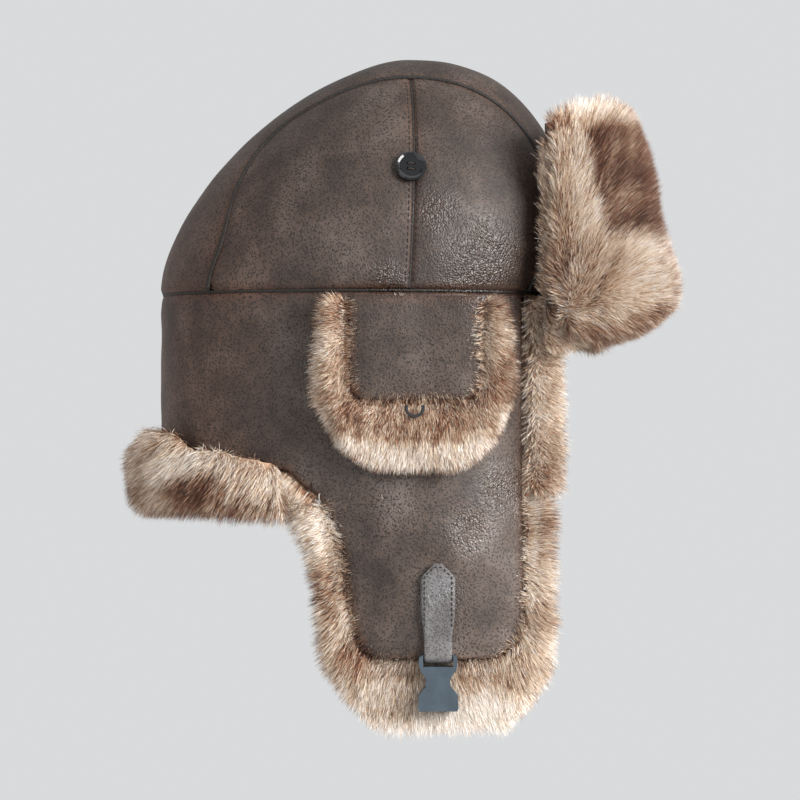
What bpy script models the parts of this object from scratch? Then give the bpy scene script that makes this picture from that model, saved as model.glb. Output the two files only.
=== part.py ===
"""Trapper hat with leather panels, fur edging, turned-up visor, ear flaps, ear covers and a chin buckle.

The front of the hat faces -Y, the wearer's right is -X and +Z is up.  The origin is the centre of the
head opening, level with the seam between the crown and the band.  Lengths are in metres.
"""
import math

import bmesh
import bpy
import numpy as np

# Crown
CROWN_HEIGHT = 0.137
CROWN_HALF_WIDTH = 0.0925
CROWN_BACK = 0.111
CROWN_FRONT = -0.117
CROWN_PEAK_Y = -0.033
CROWN_WIDEST_Y = -0.002
CROWN_FRONT_BULGE = 0.014
PLAN_POWER_SEAM = 2.3
PLAN_POWER_TOP = 2.1
BACK_POWER = 1.60
FRONT_POWER = 2.4
RAY_ORIGIN_Y = -0.020
STRIP_HALF_TOP = 0.040
STRIP_FLARE_BACK = 0.030
STRIP_FLARE_FRONT = 0.015
SIDE_SEAM_Y = -0.033
SEAM_PITCH_DEGREES = 96
BASE_PITCH = 0.004
REAR_PITCHES = [math.radians(6 + (SEAM_PITCH_DEGREES - 6) * k / 10) for k in range(11)]
FRONT_PITCHES = [math.radians(SEAM_PITCH_DEGREES + (174 - SEAM_PITCH_DEGREES) * k / 8) for k in range(9)]

# Layers
LEATHER = 0.0018
GAP = 0.0004
PADDING_DEPTH = (0.0042, 0.0072)
LINING_DEPTH = (0.0092, 0.0106)
BAND_FUR_DEPTH = (0.0034, 0.0140)

# Band
BAND_BACK_Z = -0.093
FOLD_Z = -0.112
FOLD_CLEARANCE = 0.001
FRONT_BAND_Z = -0.027
BAND_FRONT_Y = -0.097
ROLL_END_Y = 0.038
ROLL_DROP = 0.0325
ROLL_BULGE = 0.0195
EAR_HOLE_Y = -0.034
EAR_HOLE_Z = -0.045
EAR_HOLE_RADII = (0.020, 0.016)

# Ear flaps
FLAP_AXIS = (-0.100, -0.045, FOLD_Z)
FLAP_BOTTOM_Z = -0.2045
FLAP_FUR_BOTTOM_Z = -0.243
FLAP_FUR_DEPTH = -0.018
EDGE_FUR = 0.020

# Ear covers
COVER_AXIS = (-0.1060, -0.036, -0.003)
COVER_STEP = 0.0016
COVER_LEATHER_D = (0.0104, 0.0122)
COVER_RIM = 0.020
COVER_MIDDLE_Y = -0.0355

# Visor
VISOR_AXIS = (0.0, -0.120, -0.029)
VISOR_CENTRE_Y = -0.100
VISOR_TOP_Z = 0.108
VISOR_ROOT_Z = -0.028
VISOR_FUR_LOW_Z = -0.0215
STIFFENER_LOW = 8.0

# Buckle, chin strap and button
TAB_Y = -0.0485
TAB_WIDTH = 0.019
TAB_TOP_Z = -0.1510
TAB_TIP_WIDTH = 0.0045
TAB_POINT_HEIGHT = 0.0075
TAB_NECK = 0.0035
TAB_BASE_X = -0.0884
BAR_D = 0.0043
BAR_Z = -0.2020
BAR_RADIUS = 0.0013
LOOP_RADIUS = 0.0030
TAB_FRONT_D = 0.0032
TAB_BACK_D = 0.0013
STRAP = 0.0016
STRAP_END_Z = -0.2290
BUCKLE_THICK = 0.008
SLOT_HALF = 0.0083
POCKET_HALF = 0.0026
BUTTON_RADIUS = 0.00875
BUTTON_DIRECTION = (-0.755, -0.127, 0.643)

BROWN_LEATHER = (0.075, 0.052, 0.040)
FUR = (0.50, 0.38, 0.28)
LINING = (0.055, 0.040, 0.032)
WADDING = (0.75, 0.73, 0.70)
SLATE_PLASTIC = (0.085, 0.105, 0.125)
BLACK_PLASTIC = (0.010, 0.011, 0.013)
BLACK_WEBBING = (0.020, 0.020, 0.022)


def smooth(value):
    """A step from 0 to 1 with flat ends."""
    value = np.clip(value, 0.0, 1.0)
    return value * value * (3.0 - 2.0 * value)


def mix(low, high, share):
    return low + (high - low) * share


# ---------------------------------------------------------------- scene and mesh helpers

def clear_scene():
    for thing in list(bpy.data.objects):
        bpy.data.objects.remove(thing, do_unlink=True)


def add_empty(name, location, parent=None):
    """A pivot on a joint's axis, which carries the pieces that turn about it."""
    empty = bpy.data.objects.new(name, None)
    bpy.context.scene.collection.objects.link(empty)
    empty.empty_display_size = 0.02
    if parent is not None:
        empty.parent = parent
        location = np.subtract(location, world_place(parent))
    empty.location = location
    return empty


def world_place(thing):
    place = np.array(thing.location)
    return place if thing.parent is None else place + world_place(thing.parent)


def add_material(thing, colour, roughness, metallic=0.0):
    material = bpy.data.materials.new(thing.name)
    material.use_nodes = True
    shader = material.node_tree.nodes["Principled BSDF"]
    shader.inputs["Base Color"].default_value = (*colour, 1.0)
    shader.inputs["Roughness"].default_value = roughness
    shader.inputs["Metallic"].default_value = metallic
    material.diffuse_color = (*colour, 1.0)
    thing.data.materials.append(material)


def add_object(name, points, faces, pivot, finish):
    """One closed body from world points, placed on its pivot."""
    place = world_place(pivot)
    mesh = bpy.data.meshes.new(name)
    mesh.from_pydata([tuple(np.subtract(p, place)) for p in points], [], faces)
    shape = bmesh.new()
    shape.from_mesh(mesh)
    bmesh.ops.remove_doubles(shape, verts=shape.verts, dist=1e-6)
    bmesh.ops.triangulate(shape, faces=shape.faces)
    bmesh.ops.recalc_face_normals(shape, faces=shape.faces)
    shape.to_mesh(mesh)
    shape.free()
    mesh.shade_smooth()
    mesh.set_sharp_from_angle(angle=math.radians(40))
    thing = bpy.data.objects.new(name, mesh)
    bpy.context.scene.collection.objects.link(thing)
    thing.parent = pivot
    add_material(thing, *finish)
    return thing


def add_mirrored(thing, name, pivot):
    """The same piece on the other side of the hat."""
    place = world_place(thing.parent)
    points = [np.add(v.co, place) * (-1, 1, 1) for v in thing.data.vertices]
    faces = [tuple(reversed(f.vertices)) for f in thing.data.polygons]
    shader = thing.data.materials[0].node_tree.nodes["Principled BSDF"]
    colour = tuple(shader.inputs["Base Color"].default_value)[:3]
    roughness = shader.inputs["Roughness"].default_value
    return add_object(name, points, faces, pivot, (colour, roughness))


def cut(thing, cutter):
    """Subtract a hidden cutter from a piece."""
    cutter.hide_render = True
    cutter.display_type = "WIRE"
    step = thing.modifiers.new("cut", "BOOLEAN")
    step.operation = "DIFFERENCE"
    step.solver = "EXACT"
    step.object = cutter


def inset(grid, distance):
    """Pull the four edges of a grid of points in by a distance."""
    grid = np.array(grid, dtype=float)
    for _ in range(2):
        for edge, inner in ((0, 1), (-1, -2)):
            step = grid[inner] - grid[edge]
            length = np.linalg.norm(step, axis=1, keepdims=True)
            grid[edge] += step / np.maximum(length, 1e-9) * distance
        grid = grid.transpose(1, 0, 2)
    return grid


def sheet_solid(outer, inner, wrap=False):
    """Points and faces of the solid between two grids of the same size; wrap closes the rows."""
    rows, columns = outer.shape[:2]
    points = list(outer.reshape(-1, 3)) + list(inner.reshape(-1, 3))
    half = rows * columns
    spans = columns if wrap else columns - 1
    faces = []

    def corner(row, column, side):
        return side * half + row * columns + column % columns

    for row in range(rows - 1):
        for column in range(spans):
            for side in (0, 1):
                faces.append([corner(row, column, side), corner(row + 1, column, side),
                              corner(row + 1, column + 1, side), corner(row, column + 1, side)])
    for row in (0, rows - 1):
        for column in range(spans):
            faces.append([corner(row, column, 0), corner(row, column + 1, 0),
                          corner(row, column + 1, 1), corner(row, column, 1)])
    if not wrap:
        for column in (0, columns - 1):
            for row in range(rows - 1):
                faces.append([corner(row, column, 0), corner(row + 1, column, 0),
                              corner(row + 1, column, 1), corner(row, column, 1)])
    return points, faces


def loft_solid(sections):
    """Points and faces of a solid through closed sections that all have the same number of points."""
    sections = np.array(sections, dtype=float)
    count, size = sections.shape[:2]
    points = list(sections.reshape(-1, 3))
    faces = []
    for index in range(count - 1):
        for k in range(size):
            a = index * size + k
            b = index * size + (k + 1) % size
            faces.append([a, b, b + size, a + size])
    faces.append(list(range(size)))
    faces.append(list(range((count - 1) * size, count * size)))
    return points, faces


def extrude_x(outline, x_low, x_high):
    """Points and faces of an outline in Y and Z, extruded along X."""
    count = len(outline)
    points = [(x_low, y, z) for y, z in outline] + [(x_high, y, z) for y, z in outline]
    faces = [list(range(count)), [count + k for k in reversed(range(count))]]
    for k in range(count):
        after = (k + 1) % count
        faces.append([k, after, count + after, count + k])
    return points, faces


# ---------------------------------------------------------------- crown surface

def inside_crown(point):
    """Below 1 inside the crown's outer surface, above 1 outside it."""
    x, y, z = point
    level = min(max(z / CROWN_HEIGHT, 0.0), 1.0)
    centre = mix(CROWN_WIDEST_Y, CROWN_PEAK_Y, smooth(level))
    half_width = CROWN_HALF_WIDTH * math.sqrt(max(1.0 - level ** 2, 0.0)) + 1e-6
    back = CROWN_PEAK_Y + (CROWN_BACK + 0.001 - CROWN_PEAK_Y) * (1 - level ** BACK_POWER) ** (1 / BACK_POWER)
    tuck = CROWN_FRONT_BULGE * max(1.0 - z / 0.06, 0.0) ** 2
    reach = CROWN_PEAK_Y - CROWN_FRONT + CROWN_FRONT_BULGE - tuck
    front = CROWN_PEAK_Y - reach * (1 - level ** FRONT_POWER) ** (1 / FRONT_POWER)
    length = back - centre if y > centre else centre - front
    power = mix(PLAN_POWER_SEAM, PLAN_POWER_TOP, level)
    flat = (abs(x) / half_width) ** power + (abs(y - centre) / (length + 1e-6)) ** power
    return flat if z < CROWN_HEIGHT else 2.0


def crown_point(direction, depth=0.0):
    """Where a ray from the ray origin meets the crown, less a depth."""
    unit = np.array(direction, dtype=float)
    unit = unit / np.linalg.norm(unit)
    origin = np.array([0.0, RAY_ORIGIN_Y, 0.0])
    low, high = 0.0, 0.25
    for _ in range(34):
        middle = (low + high) / 2
        if inside_crown(origin + unit * middle) < 1.0:
            low = middle
        else:
            high = middle
    return origin + unit * (low - depth)


def strip_half_width(pitch):
    """Half the strip's width at a pitch angle: 0 at the back, 180 degrees at the front."""
    degrees = math.degrees(pitch)
    back = STRIP_FLARE_BACK * smooth((62 - degrees) / 50)
    front = STRIP_FLARE_FRONT * smooth((degrees - 140) / 40)
    return STRIP_HALF_TOP + back + front


def strip_direction(pitch, share):
    """The direction of a point on the strip: share -1 is its right edge and +1 its left edge."""
    target = strip_half_width(pitch) * abs(share)
    low, high = 0.0, 1.45
    for _ in range(26):
        middle = (low + high) / 2
        ray = (math.sin(middle), math.cos(middle) * math.cos(pitch), math.cos(middle) * math.sin(pitch))
        if abs(crown_point(ray)[0]) < target:
            low = middle
        else:
            high = middle
    side = math.copysign(math.sin(low), share)
    return np.array([side, math.cos(low) * math.cos(pitch), math.cos(low) * math.sin(pitch)])


def leather_grid(directions):
    """The outer and inner grids of a leather panel from its grid of ray directions."""
    outer = np.array([[crown_point(d) for d in row] for row in directions])
    inner = np.array([[crown_point(d, LEATHER) for d in row] for row in directions])
    return inset(outer, GAP / 2), inset(inner, GAP / 2)


def make_crown_strip(pivot):
    pitches = [BASE_PITCH] + REAR_PITCHES + FRONT_PITCHES[1:] + [math.pi - BASE_PITCH]
    directions = [[strip_direction(p, s) for s in (-1, -0.75, -0.5, -0.25, 1e-6, 0.25, 0.5, 0.75, 1)] for p in pitches]
    points, faces = sheet_solid(*leather_grid(directions))
    add_object("crown_top_strip", points, faces, pivot, (BROWN_LEATHER, 0.5))


def make_crown_panel(name, pitches, pivot):
    """A right side panel between the strip's seam above and the band's seam below."""
    seam_foot = np.array([-1.0, (SIDE_SEAM_Y - RAY_ORIGIN_Y) / CROWN_HALF_WIDTH, BASE_PITCH])
    if pitches is REAR_PITCHES:
        start, end = strip_direction(BASE_PITCH, -1), seam_foot
    else:
        start, end = seam_foot, strip_direction(math.pi - BASE_PITCH, -1)
    turn_start = math.atan2(start[1], -start[0])
    turn_end = math.atan2(end[1], -end[0])
    rows = []
    for index, pitch in enumerate(pitches):
        turn = mix(turn_start, turn_end, index / (len(pitches) - 1))
        foot = np.array([-math.cos(turn), math.sin(turn), BASE_PITCH])
        top = strip_direction(pitch, -1)
        rows.append([mix(foot, top, k / 8) for k in range(9)])
    points, faces = sheet_solid(*leather_grid(rows))
    return add_object(name, points, faces, pivot, (BROWN_LEATHER, 0.5))


def make_crown_layer(name, depths, pivot, finish):
    """A cup that lines the whole crown."""
    turns = [2 * math.pi * k / 28 for k in range(28)]
    lifts = [math.radians(v) for v in (0.8, 10, 20, 30, 40, 50, 60, 70, 80)]

    def rings(depth):
        return np.array([[crown_point((math.cos(lift) * math.cos(t), math.cos(lift) * math.sin(t),
                                       math.sin(lift)), depth) for t in turns] for lift in lifts])

    outer, inner = rings(depths[0]), rings(depths[1])
    points, faces = sheet_solid(outer, inner, wrap=True)
    count = len(turns)
    last = (len(lifts) - 1) * count
    half = len(lifts) * count
    faces = [f for f in faces if not all(p % half >= last for p in f)]
    for side, depth in enumerate(depths):
        pole = len(points)
        points.append(crown_point((0, 0, 1), depth))
        for k in range(count):
            faces.append([side * half + last + k, side * half + last + (k + 1) % count, pole])
    add_object(name, points, faces, pivot, finish)


# ---------------------------------------------------------------- band and flap surfaces

def outline_half_width(y):
    """Half the hat's width at the band, with a straight run-on past the temples."""
    edge = BAND_FRONT_Y - 0.002
    if y < edge:
        return outline_half_width(edge) + 0.9 * (y - edge)
    length = CROWN_BACK - CROWN_WIDEST_Y if y > CROWN_WIDEST_Y else CROWN_WIDEST_Y - CROWN_FRONT - 0.0005
    share = min(abs(y - CROWN_WIDEST_Y) / length, 1.0)
    return (CROWN_HALF_WIDTH - 0.0005) * (1.0 - share ** PLAN_POWER_SEAM) ** (1 / PLAN_POWER_SEAM)


def wall_half_width(y, z):
    """Half the hat's width at a point of the band or an ear flap, which hangs flatter lower down."""
    flat = 0.088 - 3.5 * (y + 0.045) ** 2
    drape = smooth((-0.070 - z) / 0.120) * (1.0 - smooth((y - 0.010) / 0.050))
    return mix(outline_half_width(y), flat, drape)


def wall_point(y, z, depth=0.0):
    """A point on the right wall, moved out by a depth along the wall's normal in plan."""
    slope = (wall_half_width(y + 0.001, z) - wall_half_width(y - 0.001, z)) / 0.002
    length = math.hypot(1.0, slope)
    return np.array([-wall_half_width(y, z) - depth / length, y - depth * slope / length, z])


def outline_point(turn, z, depth=0.0):
    """A point on the closed outline at a turn from +X, moved out by a depth."""

    def at(angle):
        c, s = math.cos(angle), math.sin(angle)
        length = CROWN_BACK - CROWN_WIDEST_Y if s > 0 else CROWN_WIDEST_Y - CROWN_FRONT - 0.0005
        reach = (abs(c / (CROWN_HALF_WIDTH - 0.0005)) ** PLAN_POWER_SEAM
                 + abs(s / length) ** PLAN_POWER_SEAM) ** (-1 / PLAN_POWER_SEAM)
        return np.array([reach * c, CROWN_WIDEST_Y + reach * s, 0.0])

    point = at(turn)
    along = at(turn + 0.01) - at(turn - 0.01)
    normal = np.array([along[1], -along[0], 0.0]) / np.linalg.norm(along)
    place = point + normal * depth
    if abs(point[0]) > 0.02 and point[1] < 0.055 and point[1] > BAND_FRONT_Y:
        place[0] += math.copysign(wall_half_width(point[1], z) - outline_half_width(point[1]), point[0])
    place[2] = z
    return place


def turn_at(y):
    """The turn of the right wall's point at a given Y."""
    low, high = math.radians(90), math.radians(270)
    for _ in range(40):
        middle = (low + high) / 2
        if outline_point(middle, 0.0)[1] > y:
            low = middle
        else:
            high = middle
    return low


def band_bottom(y):
    """The height of the band leather's lower edge."""
    if y > ROLL_END_Y:
        return mix(BAND_BACK_Z, -0.100, smooth((0.075 - y) / 0.037))
    return mix(-0.100, FOLD_Z + FOLD_CLEARANCE, smooth((ROLL_END_Y - y) / 0.018))


def make_side_band(pivot):
    """The right half of the leather band, from centre back to the temple, with its ear opening."""
    start = math.radians(90) + 0.002
    end = turn_at(BAND_FRONT_Y)
    turns = [mix(start, end, k / 22) for k in range(23)]

    def grid(depth):
        rows = []
        for share in (0, 0.25, 0.5, 0.7, 0.85, 1):
            rows.append([outline_point(t, mix(-GAP, band_bottom(outline_point(t, 0)[1]), share), depth)
                         for t in turns])
        return np.array(rows)

    points, faces = sheet_solid(grid(0.0), grid(-LEATHER))
    band = add_object("side_band_right", points, faces, pivot, (BROWN_LEATHER, 0.5))
    left = add_mirrored(band, "side_band_left", pivot)
    return band, left


def make_front_band(pivot):
    start = turn_at(BAND_FRONT_Y - 0.0015)
    end = 3 * math.pi - start
    turns = [mix(start, end, k / 12) for k in range(13)]

    def grid(depth):
        return np.array([[outline_point(t, z, depth) for t in turns]
                         for z in (-GAP, FRONT_BAND_Z / 2, FRONT_BAND_Z)])

    points, faces = sheet_solid(grid(0.0), grid(-LEATHER))
    add_object("front_band", points, faces, pivot, (BROWN_LEATHER, 0.5))


def make_band_fur(pivot):
    """The fur ring inside the band: deep over the ears and neck, short over the forehead."""
    front_turn = turn_at(-0.1075)
    rear = [mix(math.radians(90), turn_at(ROLL_END_Y), k / 9) for k in range(10)]
    side = [mix(turn_at(ROLL_END_Y - 0.0012), front_turn, k / 14) for k in range(15)]
    brow = [mix(turn_at(-0.1088), math.radians(270), k / 4) for k in range(5)]
    right = rear + side + brow
    turns = right + [math.pi - t + 2 * math.pi for t in reversed(right[1:-1])]

    def bottom(turn):
        y = outline_point(turn, 0.0)[1]
        if y > ROLL_END_Y - 0.0005:
            return BAND_BACK_Z
        return FOLD_Z + 0.0015 if y > -0.1082 else FRONT_BAND_Z

    def grid(depth):
        return np.array([[outline_point(t, mix(-0.004, bottom(t), share), depth) for t in turns]
                         for share in (0, 0.33, 0.66, 1)])

    points, faces = sheet_solid(grid(-BAND_FUR_DEPTH[0]), grid(-BAND_FUR_DEPTH[1]), wrap=True)
    return add_object("band_fur_lining", points, faces, pivot, (FUR, 0.9))


def add_ear_cutter(sign, pivot):
    """A hidden oval bar through the wall over one ear."""
    count = 20
    outline = [(EAR_HOLE_Y + EAR_HOLE_RADII[0] * math.cos(2 * math.pi * k / count),
                EAR_HOLE_Z + EAR_HOLE_RADII[1] * math.sin(2 * math.pi * k / count)) for k in range(count)]
    low, high = sorted((sign * 0.060, sign * 0.110))
    points, faces = extrude_x(outline, low, high)
    name = "ear_hole_cutter_" + ("left" if sign > 0 else "right")
    return add_object(name, points, faces, pivot, (BROWN_LEATHER, 0.5))


def make_neck_roll(pivot):
    """The fur edge turned out below the back of the band, thinner towards its ends."""
    start = turn_at(ROLL_END_Y + 0.0012)
    turns = [mix(start, math.pi - start, k / 24) for k in range(25)]
    sections = []
    for turn in turns:
        y = outline_point(turn, 0.0)[1]
        edge = min(band_bottom(y), BAND_BACK_Z)
        bulge = ROLL_BULGE * mix(0.75, 1.0, smooth((y - 0.04) / 0.06))
        shape = [(-0.015, -0.003), (0.0012, -0.003), (0.0014, 0.009), (0.35 * bulge, 0.016),
                 (0.78 * bulge, 0.008), (bulge, -0.011), (0.8 * bulge, -0.029), (0.004, -ROLL_DROP),
                 (-0.010, -0.030), (-0.0165, -0.015)]
        sections.append([outline_point(turn, edge + z, d) for d, z in shape])
    points, faces = loft_solid(sections)
    add_object("neck_fur_roll", points, faces, pivot, (FUR, 0.9))


def make_temple_fur(pivot):
    """The fur edge up the front of the band, from the fold to under the crown."""
    edge = BAND_FRONT_Y - 0.0015
    sections = []
    for z in (-0.003, -0.020, -0.045, -0.070, -0.095, FOLD_Z + FOLD_CLEARANCE):
        shape = [(edge, 0.0007), (edge, 0.003), (edge - 0.004, 0.0072), (edge - 0.011, 0.0072),
                 (edge - 0.0155, 0.003), (edge - 0.0155, 0.0009), (edge - 0.008, 0.0009)]
        sections.append([wall_point(y, z, d) for y, d in shape])
    points, faces = loft_solid(sections)
    fur = add_object("temple_fur_right", points, faces, pivot, (FUR, 0.9))
    add_mirrored(fur, "temple_fur_left", pivot)


# ---------------------------------------------------------------- ear flaps

def corner_drop(z, bottom, radius):
    """How far a side edge is pulled in by a round lower corner."""
    height = min(max(radius - (z - bottom), 0.0), radius)
    return radius - math.sqrt(max(radius ** 2 - height ** 2, 0.0))


def flap_rear(z):
    """The Y of the ear flap leather's rear edge."""
    curve = 0.001 + 0.024 * math.exp((z + 0.107) / 0.022) - 0.15 * max(-0.165 - z, 0.0)
    return curve - corner_drop(z, FLAP_BOTTOM_Z - 0.0008, 0.017)


def flap_front(z):
    return BAND_FRONT_Y + corner_drop(z, FLAP_BOTTOM_Z - 0.0008, 0.026)


def flap_fur_rear(z):
    curve = 0.018 + 0.026 * math.exp((z + 0.118) / 0.018)
    return min(curve, 0.0365) - corner_drop(z, FLAP_FUR_BOTTOM_Z - 0.001, 0.046)


def flap_fur_front(z):
    return BAND_FRONT_Y - EDGE_FUR + 0.002 + corner_drop(z, FLAP_FUR_BOTTOM_Z - 0.001, 0.038)


def make_flap_leather(pivot):
    heights = [FOLD_Z - FOLD_CLEARANCE, -0.125, -0.140, -0.157, -0.172, -0.183, -0.191, -0.197, -0.2015,
               FLAP_BOTTOM_Z]

    def grid(depth):
        return np.array([[wall_point(mix(flap_rear(z), flap_front(z), k / 7), z, depth) for k in range(8)]
                         for z in heights])

    points, faces = sheet_solid(grid(0.0), grid(-LEATHER))
    return add_object("ear_flap_leather_right", points, faces, pivot, (BROWN_LEATHER, 0.5))


def make_flap_fur(pivot):
    """Fur behind the flap's leather, rolled out past its edges."""
    heights = [FOLD_Z - FOLD_CLEARANCE, -0.122, -0.135, -0.150, -0.168, -0.183, -0.195, -0.203,
               -0.2075, -0.216, -0.226, -0.235, FLAP_FUR_BOTTOM_Z]
    sections = []
    for z in heights:
        behind = z > FLAP_BOTTOM_Z - 0.001
        rear, front = flap_rear(max(z, -0.2015)), flap_front(max(z, -0.2015))
        far, near = flap_fur_rear(z), flap_fur_front(z)
        rear, front = min(rear, far - 0.007), max(front, near + 0.007)
        lift = 1.0 if behind else 0.6
        cover = -LEATHER - GAP * 2 if behind else -0.001
        depth = FLAP_FUR_DEPTH * mix(1.0, 0.6, smooth((-0.222 - z) / 0.02))
        shape = [(mix(rear, front, 0.3), cover), (rear + 0.0015, cover), (rear + 0.0016, 0.003 * lift),
                 (mix(rear, far, 0.5), 0.007 * lift), (far, -0.004), (far - 0.004, depth * 0.8),
                 (rear - 0.008, depth), (front + 0.008, depth), (near + 0.004, depth * 0.8),
                 (near, -0.004), (mix(front, near, 0.5), 0.007 * lift), (front - 0.0016, 0.003 * lift),
                 (front - 0.0015, cover), (mix(rear, front, 0.7), cover)]
        sections.append([wall_point(y, z, d) for y, d in shape])
    points, faces = loft_solid(sections)
    return add_object("ear_flap_fur_right", points, faces, pivot, (FUR, 0.9))


# ---------------------------------------------------------------- ear covers

def cover_point(y, z, out):
    """A point over the band: the cover hangs flatter than the band towards the front."""
    lift = COVER_STEP + 0.014 * smooth((-0.035 - y) / 0.057)
    return np.array([-outline_half_width(y) - lift - out, y, z])


def cover_edge(z, top, middle, bottom_z, radius):
    """The Y distance of a cover edge from its middle line, rounded below."""
    return mix(top, middle, smooth(-z / 0.04)) - corner_drop(z, bottom_z, radius)


def make_cover_leather(pivot):
    def grid(out):
        rows = []
        for z in (-0.004, -0.020, -0.036, -0.048, -0.055, -0.0595, -0.0610):
            half = 0.0363 - corner_drop(z, -0.0612, 0.012)
            rows.append([cover_point(COVER_MIDDLE_Y + mix(half, -half, k / 6), z, out) for k in range(7)])
        return np.array(rows)

    points, faces = sheet_solid(grid(COVER_LEATHER_D[1]), grid(COVER_LEATHER_D[0]))
    return add_object("ear_cover_leather_right", points, faces, pivot, (BROWN_LEATHER, 0.5))


def make_cover_fur(pivot):
    """Fur under the cover's leather, with a thick rim on three sides."""
    sections = []
    for z in (-0.003, -0.020, -0.036, -0.048, -0.055, -0.0595, -0.0616, -0.0640, -0.074, -0.084,
              -0.092, -0.0970):
        wide = cover_edge(z, 0.051, 0.0565, -0.0985, 0.044)
        leather = 0.0363 - corner_drop(max(z, -0.0608), -0.0612, 0.012)
        leather = min(leather, wide - 0.010)
        floor = COVER_LEATHER_D[0] - GAP * 2 if z > -0.062 else 0.017
        high = mix(COVER_RIM, 0.013, smooth((-0.085 - z) / 0.012))
        floor = min(floor, high - 0.001)
        shape = [(leather - 0.006, floor), (leather + 0.0008, floor), (leather + 0.001, min(0.014, high)),
                 (mix(leather, wide, 0.5), high), (wide, 0.007)]
        shape += [(mix(wide - 0.006, -wide + 0.006, k / 9), 0.0) for k in range(10)]
        shape += [(-wide, 0.007), (mix(-leather, -wide, 0.5), high),
                 (-leather - 0.001, min(0.014, high)), (-leather - 0.0008, floor), (-leather + 0.006, floor),
                 (-leather * 0.4, floor), (0.0, floor), (leather * 0.4, floor)]
        sections.append([cover_point(COVER_MIDDLE_Y + y, z, out) for y, out in shape])
    points, faces = loft_solid(sections)
    return add_object("ear_cover_fur_right", points, faces, pivot, (FUR, 0.9))


def make_cover_loop(pivot):
    """An elastic loop below the cover's leather that goes over the button."""
    radius, tube = 0.0046, 0.0009
    middle = cover_point(COVER_MIDDLE_Y, -0.0650, 0.0186)
    sections = []
    for k in range(15):
        angle = math.radians(-20 + 220 * k / 14)
        y, z = -math.cos(angle) * radius, -math.sin(angle) * radius
        centre = middle + (0.0, y, z)
        along = np.array([0.0, -math.cos(angle), -math.sin(angle)])
        sections.append([centre + along * tube * math.cos(a) + np.array([1.0, 0, 0]) * tube * math.sin(a)
                         for a in (2 * math.pi * n / 6 for n in range(6))])
    points, faces = loft_solid(sections)
    return add_object("ear_cover_loop_right", points, faces, pivot, (BLACK_WEBBING, 0.8))


# ---------------------------------------------------------------- visor

def visor_shape(side, lift, layer):
    """A point of the visor: side -1 to 1 along it, lift 0 to 1 up it, layer 0 (crown side) to 1 (fur)."""
    turn = side * math.radians(mix(80, 86, layer))
    z = mix(mix(VISOR_ROOT_Z, VISOR_FUR_LOW_Z, layer), mix(0.102, VISOR_TOP_Z, layer), lift)
    tongue = (1 - smooth(lift / 0.2)) * (1 - smooth((abs(side) - 0.15) / 0.45))
    round_off = 0.5 * mix(0.4, 1.0, layer) * (lift ** 8)
    half = mix(0.0655, 0.0835, layer)
    near = mix(0.034, mix(0.047, 0.038, lift), smooth(lift / 0.2)) - 0.0095 * tongue
    bulge = math.sin(math.pi * min(lift / 0.36, 1.0)) if lift < 0.36 else 0.0
    full = smooth((lift - 0.2) / 0.15) * (1 - smooth((lift - 0.8) / 0.15))
    far = mix(0.080, 0.068, smooth(lift)) + 0.010 * bulge + 0.0038 * full - 0.016 * (1 - smooth(lift / 0.1))
    depth = mix(near, far, layer)
    thin = round_off * (depth - mix(near, far, 0.35)) if layer > 0.35 else 0.0
    c, s = math.cos(turn), math.sin(turn)
    power = 2 / 2.4
    x = half * math.copysign(abs(s) ** power, s)
    y = VISOR_CENTRE_Y - (depth - thin) * abs(c) ** power
    z -= 0.008 * smooth((abs(side) - 0.75) / 0.25) * lift
    y -= 0.010 * layer * smooth((abs(side) - 0.8) / 0.2) * (1 - smooth(lift / 0.3))
    return np.array([x, y, z])


def visor_grid(layer, shift=0.0, trim=0.0):
    """A grid over the visor at one layer, moved towards the fur by a shift."""
    rows = []
    lifts = (0, 0.05, 0.12, 0.25, 0.4, 0.6, 0.8, 0.92, 1)
    for lift in lifts:
        lift = mix(STIFFENER_LOW * trim, 1 - trim, lift)
        row = []
        for k in range(23):
            side = mix(-1, 1, k / 22) * (1 - trim)
            point = visor_shape(side, lift, layer)
            ahead = visor_shape(side, lift, min(layer + 0.05, 1.0)) - visor_shape(side, lift, layer - 0.05)
            flat = np.array([ahead[0], ahead[1], 0.0])
            row.append(point + flat / np.linalg.norm(flat) * shift)
        rows.append(row)
    return np.array(rows)


def make_visor(pivot):
    points, faces = sheet_solid(visor_grid(0.05), visor_grid(0.05, -LEATHER))
    add_object("visor_leather", points, faces, pivot, (BROWN_LEATHER, 0.5))
    points, faces = sheet_solid(visor_grid(0.05, 0.0022, 0.03), visor_grid(0.05, 0.0008, 0.03))
    add_object("visor_stiffener", points, faces, pivot, (WADDING, 0.9))
    points, faces = sheet_solid(visor_grid(0.95), visor_grid(0.05, 0.0050))
    add_object("visor_fur", points, faces, pivot, (FUR, 0.9))


# ---------------------------------------------------------------- chin fastening and buttons

def ribbon(centreline, widths, thickness, y_middle):
    """A strap from its centreline in depth and Z, with a width at each point."""
    line = np.array(centreline)
    along = np.gradient(line, axis=0)
    along /= np.linalg.norm(along, axis=1, keepdims=True)
    normal = np.stack([-along[:, 1], along[:, 0]], axis=1)

    def grid(side):
        rows = []
        for (depth, z), width in zip(line + normal * side * thickness / 2, widths):
            rows.append([(TAB_BASE_X - depth, y_middle + width * share, z) for share in (-0.5, 0, 0.5)])
        return np.array(rows)

    return sheet_solid(grid(1), grid(-1))


def tab_width(z, neck):
    """A tab's width at a height: a blunt point at the top, and a neck where it enters the buckle."""
    share = min((TAB_TOP_Z - z) / TAB_POINT_HEIGHT, 1.0)
    narrow = smooth((BAR_Z + 0.0115 - z) / 0.0030)
    return mix(TAB_TIP_WIDTH, TAB_WIDTH, max(share, 0.0)) - neck * narrow


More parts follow.
